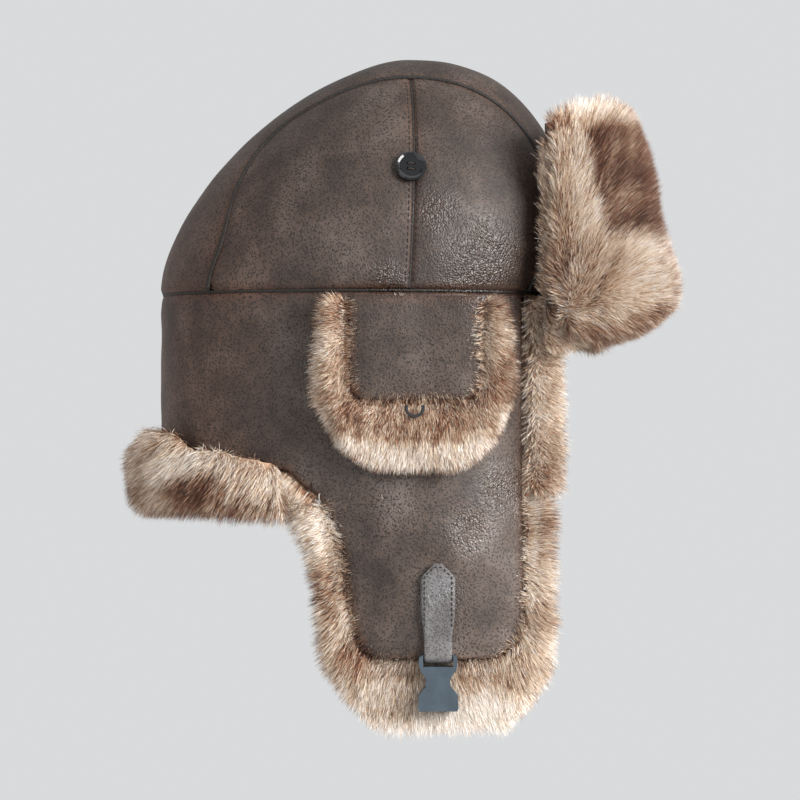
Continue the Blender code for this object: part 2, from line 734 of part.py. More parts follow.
def tab_heights(low):
    """The heights at which a tab's outline is given, down to low."""
    tops = [TAB_TOP_Z - TAB_POINT_HEIGHT * share for share in (0.0, 0.3, 0.65, 1.0)]
    return tops + [mix(tops[-1], BAR_Z + 0.012, k / 3) for k in (1, 2, 3)] + [BAR_Z + 0.0088, low]


def make_right_tab(pivot):
    """A doubled leather tab: two layers sewn to the flap, with the buckle's bar in their fold."""
    line = [(TAB_FRONT_D, z) for z in tab_heights(BAR_Z + 0.0072)]
    for k in range(9):
        angle = math.pi * k / 8
        line.append((BAR_D + LOOP_RADIUS * math.cos(angle), BAR_Z - LOOP_RADIUS * math.sin(angle)))
    line += [(TAB_BACK_D, z) for z in reversed(tab_heights(BAR_Z + 0.0072)[1:])]
    widths = [tab_width(z, TAB_NECK) for _, z in line]
    points, faces = ribbon(line, widths, STRAP, TAB_Y)
    add_object("buckle_tab_right", points, faces, pivot, (BROWN_LEATHER, 0.5))


def make_left_tab(pivot):
    """The left tab is flat and covers the sewn end of the chin strap."""
    heights = tab_heights(BAR_Z + 0.0035)
    points, faces = ribbon([(0.0015, z) for z in heights], [tab_width(z, 0.0) for z in heights], STRAP, TAB_Y)
    points = [np.array(p) * (-1, 1, 1) for p in points]
    add_object("buckle_tab_left", points, faces, pivot, (BROWN_LEATHER, 0.5))


def box_cutter(name, low, high, pivot):
    outline = [(low[1], low[2]), (high[1], low[2]), (high[1], high[2]), (low[1], high[2])]
    points, faces = extrude_x(outline, low[0], high[0])
    return add_object(name, points, faces, pivot, (SLATE_PLASTIC, 0.5))


def buckle_outline(points, y_middle, z_zero):
    """A closed outline from its right half: half-widths and heights below the bar."""
    right = [(y_middle + y, z_zero + z) for y, z in points]
    left = [(y_middle - y, z_zero + z) for y, z in reversed(points)]
    return right + left


def make_socket(pivot):
    """The half of the buckle with the mouth: a slot for the tab, a waist open at its sides and a pocket."""
    half = [(0.0082, 0.0010), (0.0105, -0.0004), (0.0106, -0.0048), (0.0096, -0.0078), (0.0072, -0.0112),
            (0.0065, -0.0140), (0.0068, -0.0165), (0.0094, -0.0196), (0.0108, -0.0215), (0.0112, -0.0285),
            (0.0104, -0.0300)]
    outline = buckle_outline(half, TAB_Y, BAR_Z)
    middle = TAB_BASE_X - BAR_D
    points, faces = extrude_x(outline, middle - BUCKLE_THICK / 2, middle + BUCKLE_THICK / 2)
    socket = add_object("buckle_socket", points, faces, pivot, (SLATE_PLASTIC, 0.45))
    cut(socket, box_cutter("slot_cutter", (middle - 0.01, TAB_Y - SLOT_HALF, BAR_Z - 0.0056),
                           (middle + 0.01, TAB_Y + SLOT_HALF, BAR_Z - BAR_RADIUS), pivot))
    thin_bar(socket, middle, BAR_Z, pivot)
    cut(socket, box_cutter("pocket_cutter", (middle - POCKET_HALF, TAB_Y - 0.0076, BAR_Z - 0.0400),
                           (middle + POCKET_HALF, TAB_Y + 0.0076, BAR_Z - 0.0115), pivot))
    for side in (-1, 1):
        low, high = sorted((TAB_Y + side * 0.0050, TAB_Y + side * 0.0140))
        cut(socket, box_cutter(f"window_cutter_{side + 1}", (middle - POCKET_HALF, low, BAR_Z - 0.0192),
                               (middle + POCKET_HALF, high, BAR_Z - 0.0120), pivot))


def thin_bar(buckle, middle, bar_z, pivot):
    """Leave only a thin bar above a buckle's slot, so that a strap can fold round it."""
    over = BAR_RADIUS - 0.0003
    for side in (-1, 1):
        low, high = sorted((middle + side * over, middle + side * 0.01))
        cut(buckle, box_cutter(f"{buckle.name}_bar_cutter_{side + 1}", (low, TAB_Y - SLOT_HALF, bar_z - 0.0030),
                               (high, TAB_Y + SLOT_HALF, bar_z + 0.0060), pivot))


def make_chin_strap(pivot):
    """Webbing that hangs from the left tab and is sewn back on itself round the plug's bar."""
    bar_d = 0.0030
    line = [(0.0041, mix(BAR_Z - 0.0008, STRAP_END_Z + 0.006, k / 4)) for k in range(5)]
    for k in range(9):
        angle = math.pi * k / 8
        line.append((bar_d + LOOP_RADIUS * math.cos(angle), STRAP_END_Z - LOOP_RADIUS * math.sin(angle)))
    line += [(0.0021, mix(STRAP_END_Z + 0.006, STRAP_END_Z + 0.014, k / 2)) for k in range(3)]
    points, faces = ribbon(line, [0.0150] * len(line), STRAP, TAB_Y)
    points = [np.array(p) * (-1, 1, 1) for p in points]
    add_object("chin_strap", points, faces, pivot, (BLACK_WEBBING, 0.85))
    return bar_d


def make_plug(pivot, bar_d):
    """The half of the buckle with the guide tongue, and a slotted frame for the strap."""
    middle = -(TAB_BASE_X - bar_d)
    half = [(0.0100, 0.0010), (0.0105, -0.0004), (0.0108, -0.0110), (0.0108, -0.0140), (0.0020, -0.0142),
            (0.0018, -0.0290)]
    outline = buckle_outline(half, TAB_Y, STRAP_END_Z)
    points, faces = extrude_x(outline, middle - 0.0022, middle + 0.0022)
    plug = add_object("buckle_plug", points, faces, pivot, (SLATE_PLASTIC, 0.45))
    cut(plug, box_cutter("plug_slot_cutter", (middle - 0.01, TAB_Y - SLOT_HALF, STRAP_END_Z - 0.0065),
                         (middle + 0.01, TAB_Y + SLOT_HALF, STRAP_END_Z - BAR_RADIUS), pivot))
    thin_bar(plug, middle, STRAP_END_Z, pivot)
    return middle


def make_prong(name, side, middle, pivot):
    """A springy arm beside the tongue, with a shoulder that catches in the socket's window."""
    shape = [(0.0100, -0.0146), (0.0102, -0.0200), (0.0092, -0.0215), (0.0072, -0.0285), (0.0050, -0.0300),
             (0.0046, -0.0285), (0.0066, -0.0215), (0.0078, -0.0190), (0.0078, -0.0146)]
    outline = [(TAB_Y + side * y, STRAP_END_Z + z) for y, z in shape]
    points, faces = extrude_x(outline, middle - 0.0020, middle + 0.0020)
    add_object(name, points, faces, pivot, (SLATE_PLASTIC, 0.45))


def make_button(pivot):
    """A round four-hole button with a raised rim, square to the crown."""
    direction = np.array(BUTTON_DIRECTION)
    seat = crown_point(direction)
    east = crown_point(direction + (0, 0.05, 0)) - crown_point(direction - (0, 0.05, 0))
    north = crown_point(direction + (0.03, 0, 0.05)) - crown_point(direction - (0.03, 0, 0.05))
    normal = np.cross(north, east)
    normal *= math.copysign(1.0, normal[2]) / np.linalg.norm(normal)
    east = east / np.linalg.norm(east)
    north = np.cross(normal, east)
    profile = [(0.0, 0.0011), (0.0060, 0.0011), (0.0080, 0.0016), (BUTTON_RADIUS, 0.0026),
               (BUTTON_RADIUS, 0.0037), (0.0078, 0.0045), (0.0066, 0.0040), (0.0058, 0.0033), (0.0, 0.0033)]
    count = 28
    points, faces = [], []
    for radius, height in profile:
        steps = count if radius else 1
        for k in range(steps):
            turn = 2 * math.pi * k / count
            points.append(seat + east * radius * math.cos(turn) + north * radius * math.sin(turn)
                          + normal * height)
    rings = len(profile) - 2
    for ring in range(rings - 1):
        for k in range(count):
            a, b = 1 + ring * count + k, 1 + ring * count + (k + 1) % count
            faces.append([a, b, b + count, a + count])
    top = len(points) - 1
    last = 1 + (rings - 1) * count
    for k in range(count):
        faces.append([0, 1 + k, 1 + (k + 1) % count])
        faces.append([top, last + k, last + (k + 1) % count])
    button = add_object("button_right", points, faces, pivot, (BLACK_PLASTIC, 0.15))
    for index in range(4):
        turn = math.pi / 4 + index * math.pi / 2
        centre = seat + east * 0.0024 * math.cos(turn) + north * 0.0024 * math.sin(turn)
        sections = [[centre + normal * h + east * 0.0009 * math.cos(a) + north * 0.0009 * math.sin(a)
                     for a in (2 * math.pi * n / 8 for n in range(8))] for h in (-0.001, 0.006)]
        holes, hole_faces = loft_solid(sections)
        cut(button, add_object(f"button_hole_{index}", holes, hole_faces, pivot, (BLACK_PLASTIC, 0.15)))
    return button


def add_mirrored_button(pivot):
    """The left button, from the right button's cut shape."""
    right = bpy.data.objects["button_right"]
    evaluated = right.evaluated_get(bpy.context.evaluated_depsgraph_get())
    mesh = evaluated.to_mesh()
    place = world_place(right.parent)
    points = [np.add(v.co, place) * (-1, 1, 1) for v in mesh.vertices]
    faces = [tuple(reversed(f.vertices)) for f in mesh.polygons]
    evaluated.to_mesh_clear()
    add_object("button_left", points, faces, pivot, (BLACK_PLASTIC, 0.15))


def mirror_place(place):
    return (-place[0], place[1], place[2])


def main():
    clear_scene()
    shell = add_empty("shell_pivot", (0.0, 0.0, 0.0))
    make_crown_strip(shell)
    rear = make_crown_panel("crown_panel_rear_right", REAR_PITCHES, shell)
    front = make_crown_panel("crown_panel_front_right", FRONT_PITCHES, shell)
    add_mirrored(rear, "crown_panel_rear_left", shell)
    add_mirrored(front, "crown_panel_front_left", shell)
    make_crown_layer("crown_padding", PADDING_DEPTH, shell, (WADDING, 0.95))
    make_crown_layer("crown_lining", LINING_DEPTH, shell, (LINING, 0.6))
    make_button(shell)
    add_mirrored_button(shell)

    bands = make_side_band(shell)
    fur_ring = make_band_fur(shell)
    for sign, band in zip((-1, 1), bands):
        cutter = add_ear_cutter(sign, shell)
        cut(band, cutter)
        cut(fur_ring, cutter)
    make_front_band(shell)
    make_neck_roll(shell)
    make_temple_fur(shell)

    flap_right = add_empty("ear_flap_right_pivot", FLAP_AXIS)
    flap_left = add_empty("ear_flap_left_pivot", mirror_place(FLAP_AXIS))
    for make in (make_flap_leather, make_flap_fur):
        piece = make(flap_right)
        add_mirrored(piece, piece.name.replace("right", "left"), flap_left)
    cover_right = add_empty("ear_cover_right_pivot", COVER_AXIS)
    cover_left = add_empty("ear_cover_left_pivot", mirror_place(COVER_AXIS))
    for make in (make_cover_leather, make_cover_fur, make_cover_loop):
        piece = make(cover_right)
        add_mirrored(piece, piece.name.replace("right", "left"), cover_left)

    visor = add_empty("visor_pivot", VISOR_AXIS)
    make_visor(visor)

    make_right_tab(flap_right)
    make_left_tab(flap_left)
    socket = add_empty("buckle_socket_pivot", (TAB_BASE_X - BAR_D, TAB_Y, BAR_Z), flap_right)
    make_socket(socket)
    strap_x = -(TAB_BASE_X - 0.0036)
    strap = add_empty("chin_strap_pivot", (strap_x, TAB_Y, BAR_Z), flap_left)
    bar_d = make_chin_strap(strap)
    plug = add_empty("buckle_plug_pivot", (-(TAB_BASE_X - bar_d), TAB_Y, STRAP_END_Z), strap)
    middle = make_plug(plug, bar_d)
    for name, side in (("plug_prong_front", -1), ("plug_prong_rear", 1)):
        root = add_empty(name + "_pivot", (middle, TAB_Y + side * 0.0089, STRAP_END_Z - 0.0146), plug)
        make_prong(name, side, middle, root)


main()
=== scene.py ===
"""Looks of the trapper hat: distressed leather, fur edging, buckle, buttons and quilted lining.

Everything is in metres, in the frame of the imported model: the front faces -Y and the wearer's right is -X.
"""
import math

import bmesh
import bpy
import numpy as np
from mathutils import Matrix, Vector, kdtree


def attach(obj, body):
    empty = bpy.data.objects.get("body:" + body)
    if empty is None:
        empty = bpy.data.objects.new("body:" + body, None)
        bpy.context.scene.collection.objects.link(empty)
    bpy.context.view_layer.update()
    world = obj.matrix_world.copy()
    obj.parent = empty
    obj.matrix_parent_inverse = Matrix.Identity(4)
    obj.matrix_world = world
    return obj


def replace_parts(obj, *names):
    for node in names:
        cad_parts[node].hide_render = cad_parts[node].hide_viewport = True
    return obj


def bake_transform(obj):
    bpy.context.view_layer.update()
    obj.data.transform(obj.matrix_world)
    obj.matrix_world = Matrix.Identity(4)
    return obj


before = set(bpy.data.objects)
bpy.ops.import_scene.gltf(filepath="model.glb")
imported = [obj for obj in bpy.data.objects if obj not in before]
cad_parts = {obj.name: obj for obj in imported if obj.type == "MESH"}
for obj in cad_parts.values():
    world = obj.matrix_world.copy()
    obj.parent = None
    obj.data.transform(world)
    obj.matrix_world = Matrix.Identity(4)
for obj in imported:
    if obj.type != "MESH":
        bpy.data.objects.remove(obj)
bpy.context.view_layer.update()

# Crown, as in the CAD model
CROWN_HEIGHT = 0.137
CROWN_HALF_WIDTH = 0.0925
CROWN_BACK = 0.111
CROWN_FRONT = -0.117
CROWN_PEAK_Y = -0.033
CROWN_WIDEST_Y = -0.002
CROWN_FRONT_BULGE = 0.014
PLAN_POWER_SEAM = 2.3
PLAN_POWER_TOP = 2.1
BACK_POWER = 1.60
FRONT_POWER = 2.4
RAY_ORIGIN = np.array([0.0, -0.020, 0.0])
STRIP_HALF_TOP = 0.040
STRIP_FLARE_BACK = 0.030
STRIP_FLARE_FRONT = 0.015
SIDE_SEAM_Y = -0.033

# Band, flaps and covers, as in the CAD model
LEATHER = 0.0018
WALL_HALF = CROWN_HALF_WIDTH - 0.0005
WALL_BACK = CROWN_BACK - CROWN_WIDEST_Y
WALL_FRONT = CROWN_WIDEST_Y - CROWN_FRONT - 0.0005
BAND_BACK_Z = -0.093
BAND_SIDE_Z = -0.100
FOLD_Z = -0.112
FRONT_BAND_Z = -0.027
BAND_FRONT_Y = -0.097
ROLL_END_Y = 0.038
FLAP_BOTTOM_Z = -0.2045
EAR_HOLE = (-0.034, -0.045)
EAR_HOLE_RADII = (0.020, 0.016)
COVER_MIDDLE_Y = -0.0355
COVER_HALF = 0.0363
COVER_BOTTOM_Z = -0.0612
COVER_CORNER = 0.012
COVER_STEP = 0.0016
COVER_OUT = 0.0122

# Buckle tabs, chin strap and buttons, as in the CAD model
TAB_Y = -0.0485
TAB_WIDTH = 0.019
TAB_TOP_Z = -0.1510
TAB_TIP_WIDTH = 0.0045
TAB_POINT_HEIGHT = 0.0075
TAB_NECK = 0.0035
TAB_BASE_X = -0.0884
TAB_FRONT_D = 0.0032
TAB_BACK_D = 0.0013
TAB_FLAT_D = 0.0015
BAR_D = 0.0043
BAR_Z = -0.2020
LOOP_RADIUS = 0.0030
STRAP = 0.0016
BUTTON_DIRECTION = (-0.755, -0.127, 0.643)

# Seams: how far leather turns in, and the cords and stitches along them
SEAM_TURN = 0.0011
SEAM_ROUND = 0.0016
SEAM_WEAR = 0.004
PUFF_REACH = 0.014
SEAM_PITCH = math.radians(96)
PITCH_END = 0.004
PIPING_RADIUS = 0.0013
PIPING_SUNK = 0.0004
SIDE_SEAM_RADIUS = 0.0010
SIDE_SEAM_SUNK = 0.0006
SEAM_CORD_RADIUS = 0.0013
SEAM_CORD_SUNK = 0.0016
SEAM_CORD_DROP = 0.0002
STITCH_INSET = 0.0026
STITCH_END_Z = -0.1870

# Fur: how far each bed is drawn in with the size of its cells, then the hairs
FLAP_BED = (0.0062, 0.0035)
COVER_BED = (0.0046, 0.0026)
ROLL_BED = (0.0066, 0.0035)
TEMPLE_BED = (0.0010, 0.0016)
BAND_BED = (0.0012, 0.0030)
VISOR_BED = (0.0062, 0.0036)
FUR_LENGTH = 0.0112
COVER_FUR_LENGTH = 0.0082
SHORT_FUR = 0.0085
HAIR_WIDTH = 0.00028
HAIR_TAPER = np.array([1.0, 0.85, 0.55])
HAIR_LEVELS = np.array([0.0, 0.36, 0.70, 1.0])
HAIRS_PER_CLUMP = 11
CLUMP_PULL = 0.27
CLUMP_REACH = 0.004
PIECE_LIMIT = 39000
ZONE_LIMITS = np.array([-1.55, -0.80, -0.05, 0.95])
SEED = 7

# Brown markings in side view: Y, Z, reach along Y, reach along Z and strength
FLAP_MARKS = ((0.018, -0.165, 0.016, 0.022, 1.0), (0.006, -0.205, 0.016, 0.014, 1.0),
              (-0.108, -0.135, 0.008, 0.020, 1.0), (-0.098, -0.212, 0.016, 0.012, 0.8),
              (-0.022, -0.224, 0.026, 0.009, 0.8))
COVER_MARKS = ((-0.002, -0.073, 0.010, 0.008, 1.0), (-0.042, -0.079, 0.020, 0.004, 1.0),
               (-0.084, -0.042, 0.007, 0.012, 0.8))
ROLL_MARKS = ((0.084, -0.1045, 0.019, 0.007, 1.0), (0.072, -0.1150, 0.022, 0.006, 0.8))
VISOR_MARKS = ((-0.132, 0.010, 0.017, 0.017, 1.0),)

SIDES = (("right", False), ("left", True))
SIGN = {"right": -1, "left": 1}

# Camera
CAMERA_DISTANCE = 1.60
VIEW_HEIGHT = 0.468
CAMERA_Y = -0.0275
CAMERA_Z = -0.0608


def smooth(value):
    """A step from 0 to 1 with flat ends."""
    value = np.clip(value, 0.0, 1.0)
    return value * value * (3.0 - 2.0 * value)


def mix(low, high, share):
    return low + (high - low) * share


def unit(vectors):
    length = np.linalg.norm(vectors, axis=-1, keepdims=True)
    return vectors / np.maximum(length, 1e-12)


def bisect(is_low, low, high, rounds):
    """Where is_low turns from true to false between two arrays, which are halved towards each other."""
    for _ in range(rounds):
        middle = (low + high) / 2
        below = is_low(middle)
        low, high = np.where(below, middle, low), np.where(below, high, middle)
    return low


# ---------------------------------------------------------------- surfaces of the CAD model, for arrays

def crown_level(points):
    """Below 1 inside the crown's outer surface, above 1 outside it."""
    x, y, z = points[..., 0], points[..., 1], points[..., 2]
    level = np.clip(z / CROWN_HEIGHT, 0.0, 1.0)
    centre = mix(CROWN_WIDEST_Y, CROWN_PEAK_Y, smooth(level))
    half_width = CROWN_HALF_WIDTH * np.sqrt(np.maximum(1.0 - level ** 2, 0.0)) + 1e-6
    reach_back = CROWN_BACK + 0.001 - CROWN_PEAK_Y
    back = CROWN_PEAK_Y + reach_back * (1 - level ** BACK_POWER) ** (1 / BACK_POWER)
    tuck = CROWN_FRONT_BULGE * np.maximum(1.0 - z / 0.06, 0.0) ** 2
    reach = CROWN_PEAK_Y - CROWN_FRONT + CROWN_FRONT_BULGE - tuck
    front = CROWN_PEAK_Y - reach * (1 - level ** FRONT_POWER) ** (1 / FRONT_POWER)
    length = np.where(y > centre, back - centre, centre - front)
    power = mix(PLAN_POWER_SEAM, PLAN_POWER_TOP, level)
    flat = (np.abs(x) / half_width) ** power + (np.abs(y - centre) / (length + 1e-6)) ** power
    return np.where(z < CROWN_HEIGHT, flat, 2.0)


def crown_points(directions):
    """Where rays from the ray origin meet the crown."""
    rays = unit(np.asarray(directions, dtype=float))
    reach = bisect(lambda middle: crown_level(RAY_ORIGIN + rays * middle[..., None]) < 1.0,
                   np.zeros(rays.shape[:-1]), np.full(rays.shape[:-1], 0.25), 30)
    return RAY_ORIGIN + rays * reach[..., None]


def strip_half_width(pitch):
    degrees = np.degrees(pitch)
    back = STRIP_FLARE_BACK * smooth((62 - degrees) / 50)
    front = STRIP_FLARE_FRONT * smooth((degrees - 140) / 40)
    return STRIP_HALF_TOP + back + front


def strip_directions(pitch, share):
    """Directions of points on the strip: share -1 is its right edge and +1 its left edge."""
    pitch, share = np.broadcast_arrays(np.asarray(pitch, float), np.asarray(share, float))
    target = strip_half_width(pitch) * np.abs(share)

    def ray(angle, side):
        return np.stack([side * np.sin(angle), np.cos(angle) * np.cos(pitch),
                         np.cos(angle) * np.sin(pitch)], axis=-1)

    angle = bisect(lambda middle: np.abs(crown_points(ray(middle, 1.0))[..., 0]) < target,
                   np.zeros(pitch.shape), np.full(pitch.shape, 1.45), 22)
    return ray(angle, np.where(share < 0, -1.0, 1.0))


def outline_half_width(y):
    """Half the hat's width at the band, with a straight run-on past the temples."""
    y = np.asarray(y, dtype=float)
    edge = BAND_FRONT_Y - 0.002
    inner = np.maximum(y, edge)
    length = np.where(inner > CROWN_WIDEST_Y, WALL_BACK, WALL_FRONT)
    share = np.minimum(np.abs(inner - CROWN_WIDEST_Y) / length, 1.0)
    half = WALL_HALF * (1.0 - share ** PLAN_POWER_SEAM) ** (1 / PLAN_POWER_SEAM)
    return half + 0.9 * np.minimum(y - edge, 0.0)


def wall_half_width(y, z):
    """Half the hat's width at a point of the band or an ear flap, which hangs flatter lower down."""
    flat = 0.088 - 3.5 * (y + 0.045) ** 2
    drape = smooth((-0.070 - z) / 0.120) * (1.0 - smooth((y - 0.010) / 0.050))
    return mix(outline_half_width(y), flat, drape)


def outline_points(turn, z):
    """Points on the closed outline at a turn from +X, with the flaps' drape."""
    turn, z = np.broadcast_arrays(np.asarray(turn, float), np.asarray(z, float))
    c, s = np.cos(turn), np.sin(turn)
    length = np.where(s > 0, WALL_BACK, WALL_FRONT)
    reach = (np.abs(c / WALL_HALF) ** PLAN_POWER_SEAM
             + np.abs(s / length) ** PLAN_POWER_SEAM) ** (-1 / PLAN_POWER_SEAM)
    x, y = reach * c, CROWN_WIDEST_Y + reach * s
    draped = (np.abs(x) > 0.02) & (y < 0.055) & (y > BAND_FRONT_Y)
    x = np.where(draped, x + np.sign(x) * (wall_half_width(y, z) - outline_half_width(y)), x)
    return np.stack([x, y, z], axis=-1)


def turn_at(y):
    """The turn of the right wall's point at a given Y."""
    return float(bisect(lambda middle: outline_points(middle, 0.0)[1] > y,
                        math.radians(90), math.radians(270), 40))


def band_bottom(y):
    """The height of the band leather's lower edge behind the ear flap."""
    back = mix(BAND_BACK_Z, BAND_SIDE_Z, smooth((0.075 - y) / 0.037))
    side = mix(BAND_SIDE_Z, FOLD_Z, smooth((ROLL_END_Y - y) / 0.018))
    return np.where(y > ROLL_END_Y, back, side)


def corner_drop(z, bottom, radius):
    """How far a side edge is pulled in by a round lower corner."""
    height = np.clip(radius - (z - bottom), 0.0, radius)
    return radius - np.sqrt(np.maximum(radius ** 2 - height ** 2, 0.0))


def flap_rear(z):
    curve = 0.001 + 0.024 * np.exp((z + 0.107) / 0.022) - 0.15 * np.maximum(-0.165 - z, 0.0)
    return curve - corner_drop(z, FLAP_BOTTOM_Z - 0.0008, 0.017)


def flap_front(z):
    return BAND_FRONT_Y + corner_drop(z, FLAP_BOTTOM_Z - 0.0008, 0.026)


def flap_out(y, z):
    """How far a point lies past the edge of the flap's leather: below 0 inside it."""
    high = np.maximum(z, FLAP_BOTTOM_Z)
    return np.maximum(np.maximum(y - flap_rear(high), flap_front(high) - y), FLAP_BOTTOM_Z - z)


def cover_half(z):
    """Half the width of a cover's leather."""
    return COVER_HALF - corner_drop(np.maximum(z, COVER_BOTTOM_Z + 0.0002), COVER_BOTTOM_Z, COVER_CORNER)


def cover_out(y, z):
    """How far a point lies past the edge of a cover's leather: below 0 inside it."""
    return np.maximum(np.abs(y - COVER_MIDDLE_Y) - cover_half(z), COVER_BOTTOM_Z - z)


def cover_points(y, z, out):
    """Points over the band: the cover hangs flatter than the band towards the front."""
    lift = COVER_STEP + 0.014 * smooth((-0.035 - y) / 0.057)
    return np.stack(np.broadcast_arrays(-outline_half_width(y) - lift - out, y, z), axis=-1)


# ---------------------------------------------------------------- mesh helpers

def read_array(items, field, width=3, kind=float):
    """A field of a mesh's items as an array with one row for each item."""
    values = np.empty(len(items) * width, kind)
    items.foreach_get(field, values)
    return values.reshape(-1, width)


def link_object(name, mesh):
    thing = bpy.data.objects.new(name, mesh)
    bpy.context.scene.collection.objects.link(thing)
    return thing


def new_piece(name, points, faces, body, made, mirror=False, seams=None, tidy=False):
    """A mesh piece that rides on a body: mirrored for the left side, with its share of seam wear."""
    if mirror:
        points = np.array(points) * (-1, 1, 1)
        faces = [tuple(reversed(face)) for face in faces]
    mesh = bpy.data.meshes.new(name)
    mesh.from_pydata([tuple(p) for p in points], [], faces)
    mesh.validate()
    mesh.shade_smooth()
    mesh.materials.append(made)
    if seams is not None:
        mesh.attributes.new("seam", "FLOAT", "POINT").data.foreach_set("value", seams)
    piece = link_object(name, mesh)
    if tidy:
        tidy_normals(piece)
    if body:
        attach(piece, body)
    return piece


def tidy_normals(piece):
    """Faces out, and points that no face uses removed."""
    shape = bmesh.new()
    shape.from_mesh(piece.data)
    loose = [v for v in shape.verts if not v.link_faces]
    bmesh.ops.delete(shape, geom=loose, context="VERTS")
    bmesh.ops.recalc_face_normals(shape, faces=shape.faces)
    shape.to_mesh(piece.data)
    shape.free()


def apply_modifiers(piece):
    """Replace the mesh with the evaluated one, with no modifiers left."""
    evaluated = piece.evaluated_get(bpy.context.evaluated_depsgraph_get())
    mesh = bpy.data.meshes.new_from_object(evaluated)
    piece.modifiers.clear()
    piece.data = mesh


def outward_normals(grid):
    """Normals of a grid of points from its neighbours, turned away from the hat's middle."""
    normals = unit(np.cross(np.gradient(grid, axis=1), np.gradient(grid, axis=0)))
    away = np.sum((grid - (0.0, -0.01, 0.0)) * (1, 1, 0.6) * normals, axis=2).mean()
    return normals if away > 0 else -normals


def edge_runs(grid):
    """How far each point is, along the grid, from its first and last row and first and last column."""
    runs = []
    for axis in (0, 1):
        steps = np.linalg.norm(np.diff(grid, axis=axis), axis=2)
        total = np.insert(np.cumsum(steps, axis=axis), 0, 0.0, axis=axis)
        runs += [total, np.take(total, [-1], axis=axis) - total]
    return runs


def grid_faces(rows, columns, hole=None, first=0):
    """The faces of a grid of points, without the cells that a hole takes."""
    index = np.arange(rows * columns).reshape(rows, columns) + first
    keep = np.ones((rows - 1, columns - 1), bool) if hole is None else ~hole
    return np.stack([corner[keep] for corner in (index[:-1, :-1], index[1:, :-1],
                                                 index[1:, 1:], index[:-1, 1:])], axis=1)


def loft_faces(rows, ring, first=0):
    """Faces through rows of points in rings, with a cap at both ends."""
    faces = []
    for row in range(rows - 1):
        for k in range(ring):
            p, q = first + row * ring + k, first + row * ring + (k + 1) % ring
            faces.append((p, q, q + ring, p + ring))
    faces.append(tuple(first + k for k in reversed(range(ring))))
    faces.append(tuple(first + (rows - 1) * ring + k for k in range(ring)))
    return faces


def wrinkles(grid, size):
    """Slow, shallow waves that a soft leather surface shows."""
    x, y, z = (grid[..., k] * 1000 for k in range(3))
    wave = (np.sin(x * 0.11 + 1.3 * np.sin(y * 0.05) + z * 0.07) * np.sin(z * 0.09 - y * 0.06 + 0.8)
            + 0.6 * np.sin(y * 0.19 + 2.0 * np.sin(z * 0.045 + x * 0.03))
            + 0.5 * np.sin(z * 0.23 + 1.7 * np.sin(y * 0.04) + x * 0.1))
    return wave * size


def puffed(grid, normals, gap, turned, puff, waves, calm):
    """The outer leather: turned in at the seams, where the gap is 0, with a soft puff and waves between."""
    dip = -turned * np.exp(-(gap / SEAM_ROUND) ** 2) + puff * smooth(gap / PUFF_REACH) \
        + wrinkles(grid, waves) * smooth(gap / calm)
    return grid + normals * dip[..., None]


def seam_wear(gap):
    return np.exp(-(gap / SEAM_WEAR) ** 2).reshape(-1)


# ---------------------------------------------------------------- materials

def feed(tree, node, inputs):
    """Give a node's inputs their values, or link them to other nodes' outputs."""
    for key, value in inputs.items():
        if isinstance(value, bpy.types.NodeSocket):
            tree.links.new(value, node.inputs[key])
        else:
            node.inputs[key].default_value = value


def material(name, colour=(0.5, 0.5, 0.5), roughness=0.5, specular=0.5):
    """A new material, its node tree, its shader and its object coordinates."""
    made = bpy.data.materials.new(name)
    made.use_nodes = True
    tree = made.node_tree
    shader = tree.nodes["Principled BSDF"]
    feed(tree, shader, {"Base Color": (*colour, 1.0), "Roughness": roughness,
                        "Specular IOR Level": specular})
    return made, tree, shader, tree.nodes.new("ShaderNodeTexCoord").outputs["Object"]


def add_node(tree, kind, inputs, **settings):
    node = tree.nodes.new("ShaderNode" + kind)
    for key, value in settings.items():
        setattr(node, key, value)
    feed(tree, node, inputs)
    return node


def noise(tree, place, scale, detail, roughness=0.5):
    inputs = {"Vector": place, "Scale": scale, "Detail": detail, "Roughness": roughness}
    return add_node(tree, "TexNoise", inputs)


def calculate(tree, operation, *values):
    return add_node(tree, "Math", dict(enumerate(values)), operation=operation).outputs[0]


def step_between(tree, value, low, high, first=0.0, last=1.0):
    """A smooth change from first to last while the value goes from low to high."""
    return add_node(tree, "MapRange", {0: value, 1: low, 2: high, 3: first, 4: last},
                    interpolation_type="SMOOTHSTEP").outputs[0]


def ramp(tree, source, *stops):
    """The colour or grey from a ramp on a source socket, with (place, colour) stops."""
    node = add_node(tree, "ValToRGB", {"Fac": source})
    bar = node.color_ramp
    while len(bar.elements) < len(stops):
        bar.elements.new(0.5)
    for element, (place, colour) in zip(bar.elements, stops):
        element.position = place
        element.color = (*np.broadcast_to(colour, 3), 1.0)
    return node.outputs["Color"]


def blend_colour(tree, share, first, second, kind="MIX"):
    first, second = ((*c, 1.0) if isinstance(c, tuple) else c for c in (first, second))
    inputs = {0: share, 6: first, 7: second}
    return add_node(tree, "Mix", inputs, data_type="RGBA", blend_type=kind).outputs[2]


def bump(tree, height, strength, distance, **under):
    """A normal from a height, over another bump's Normal if one is given."""
    inputs = {"Height": height, "Strength": strength, "Distance": distance, **under}
    return add_node(tree, "Bump", inputs).outputs["Normal"]


def scaled(colour, share):
    return tuple(min(c * share, 1.0) for c in colour)


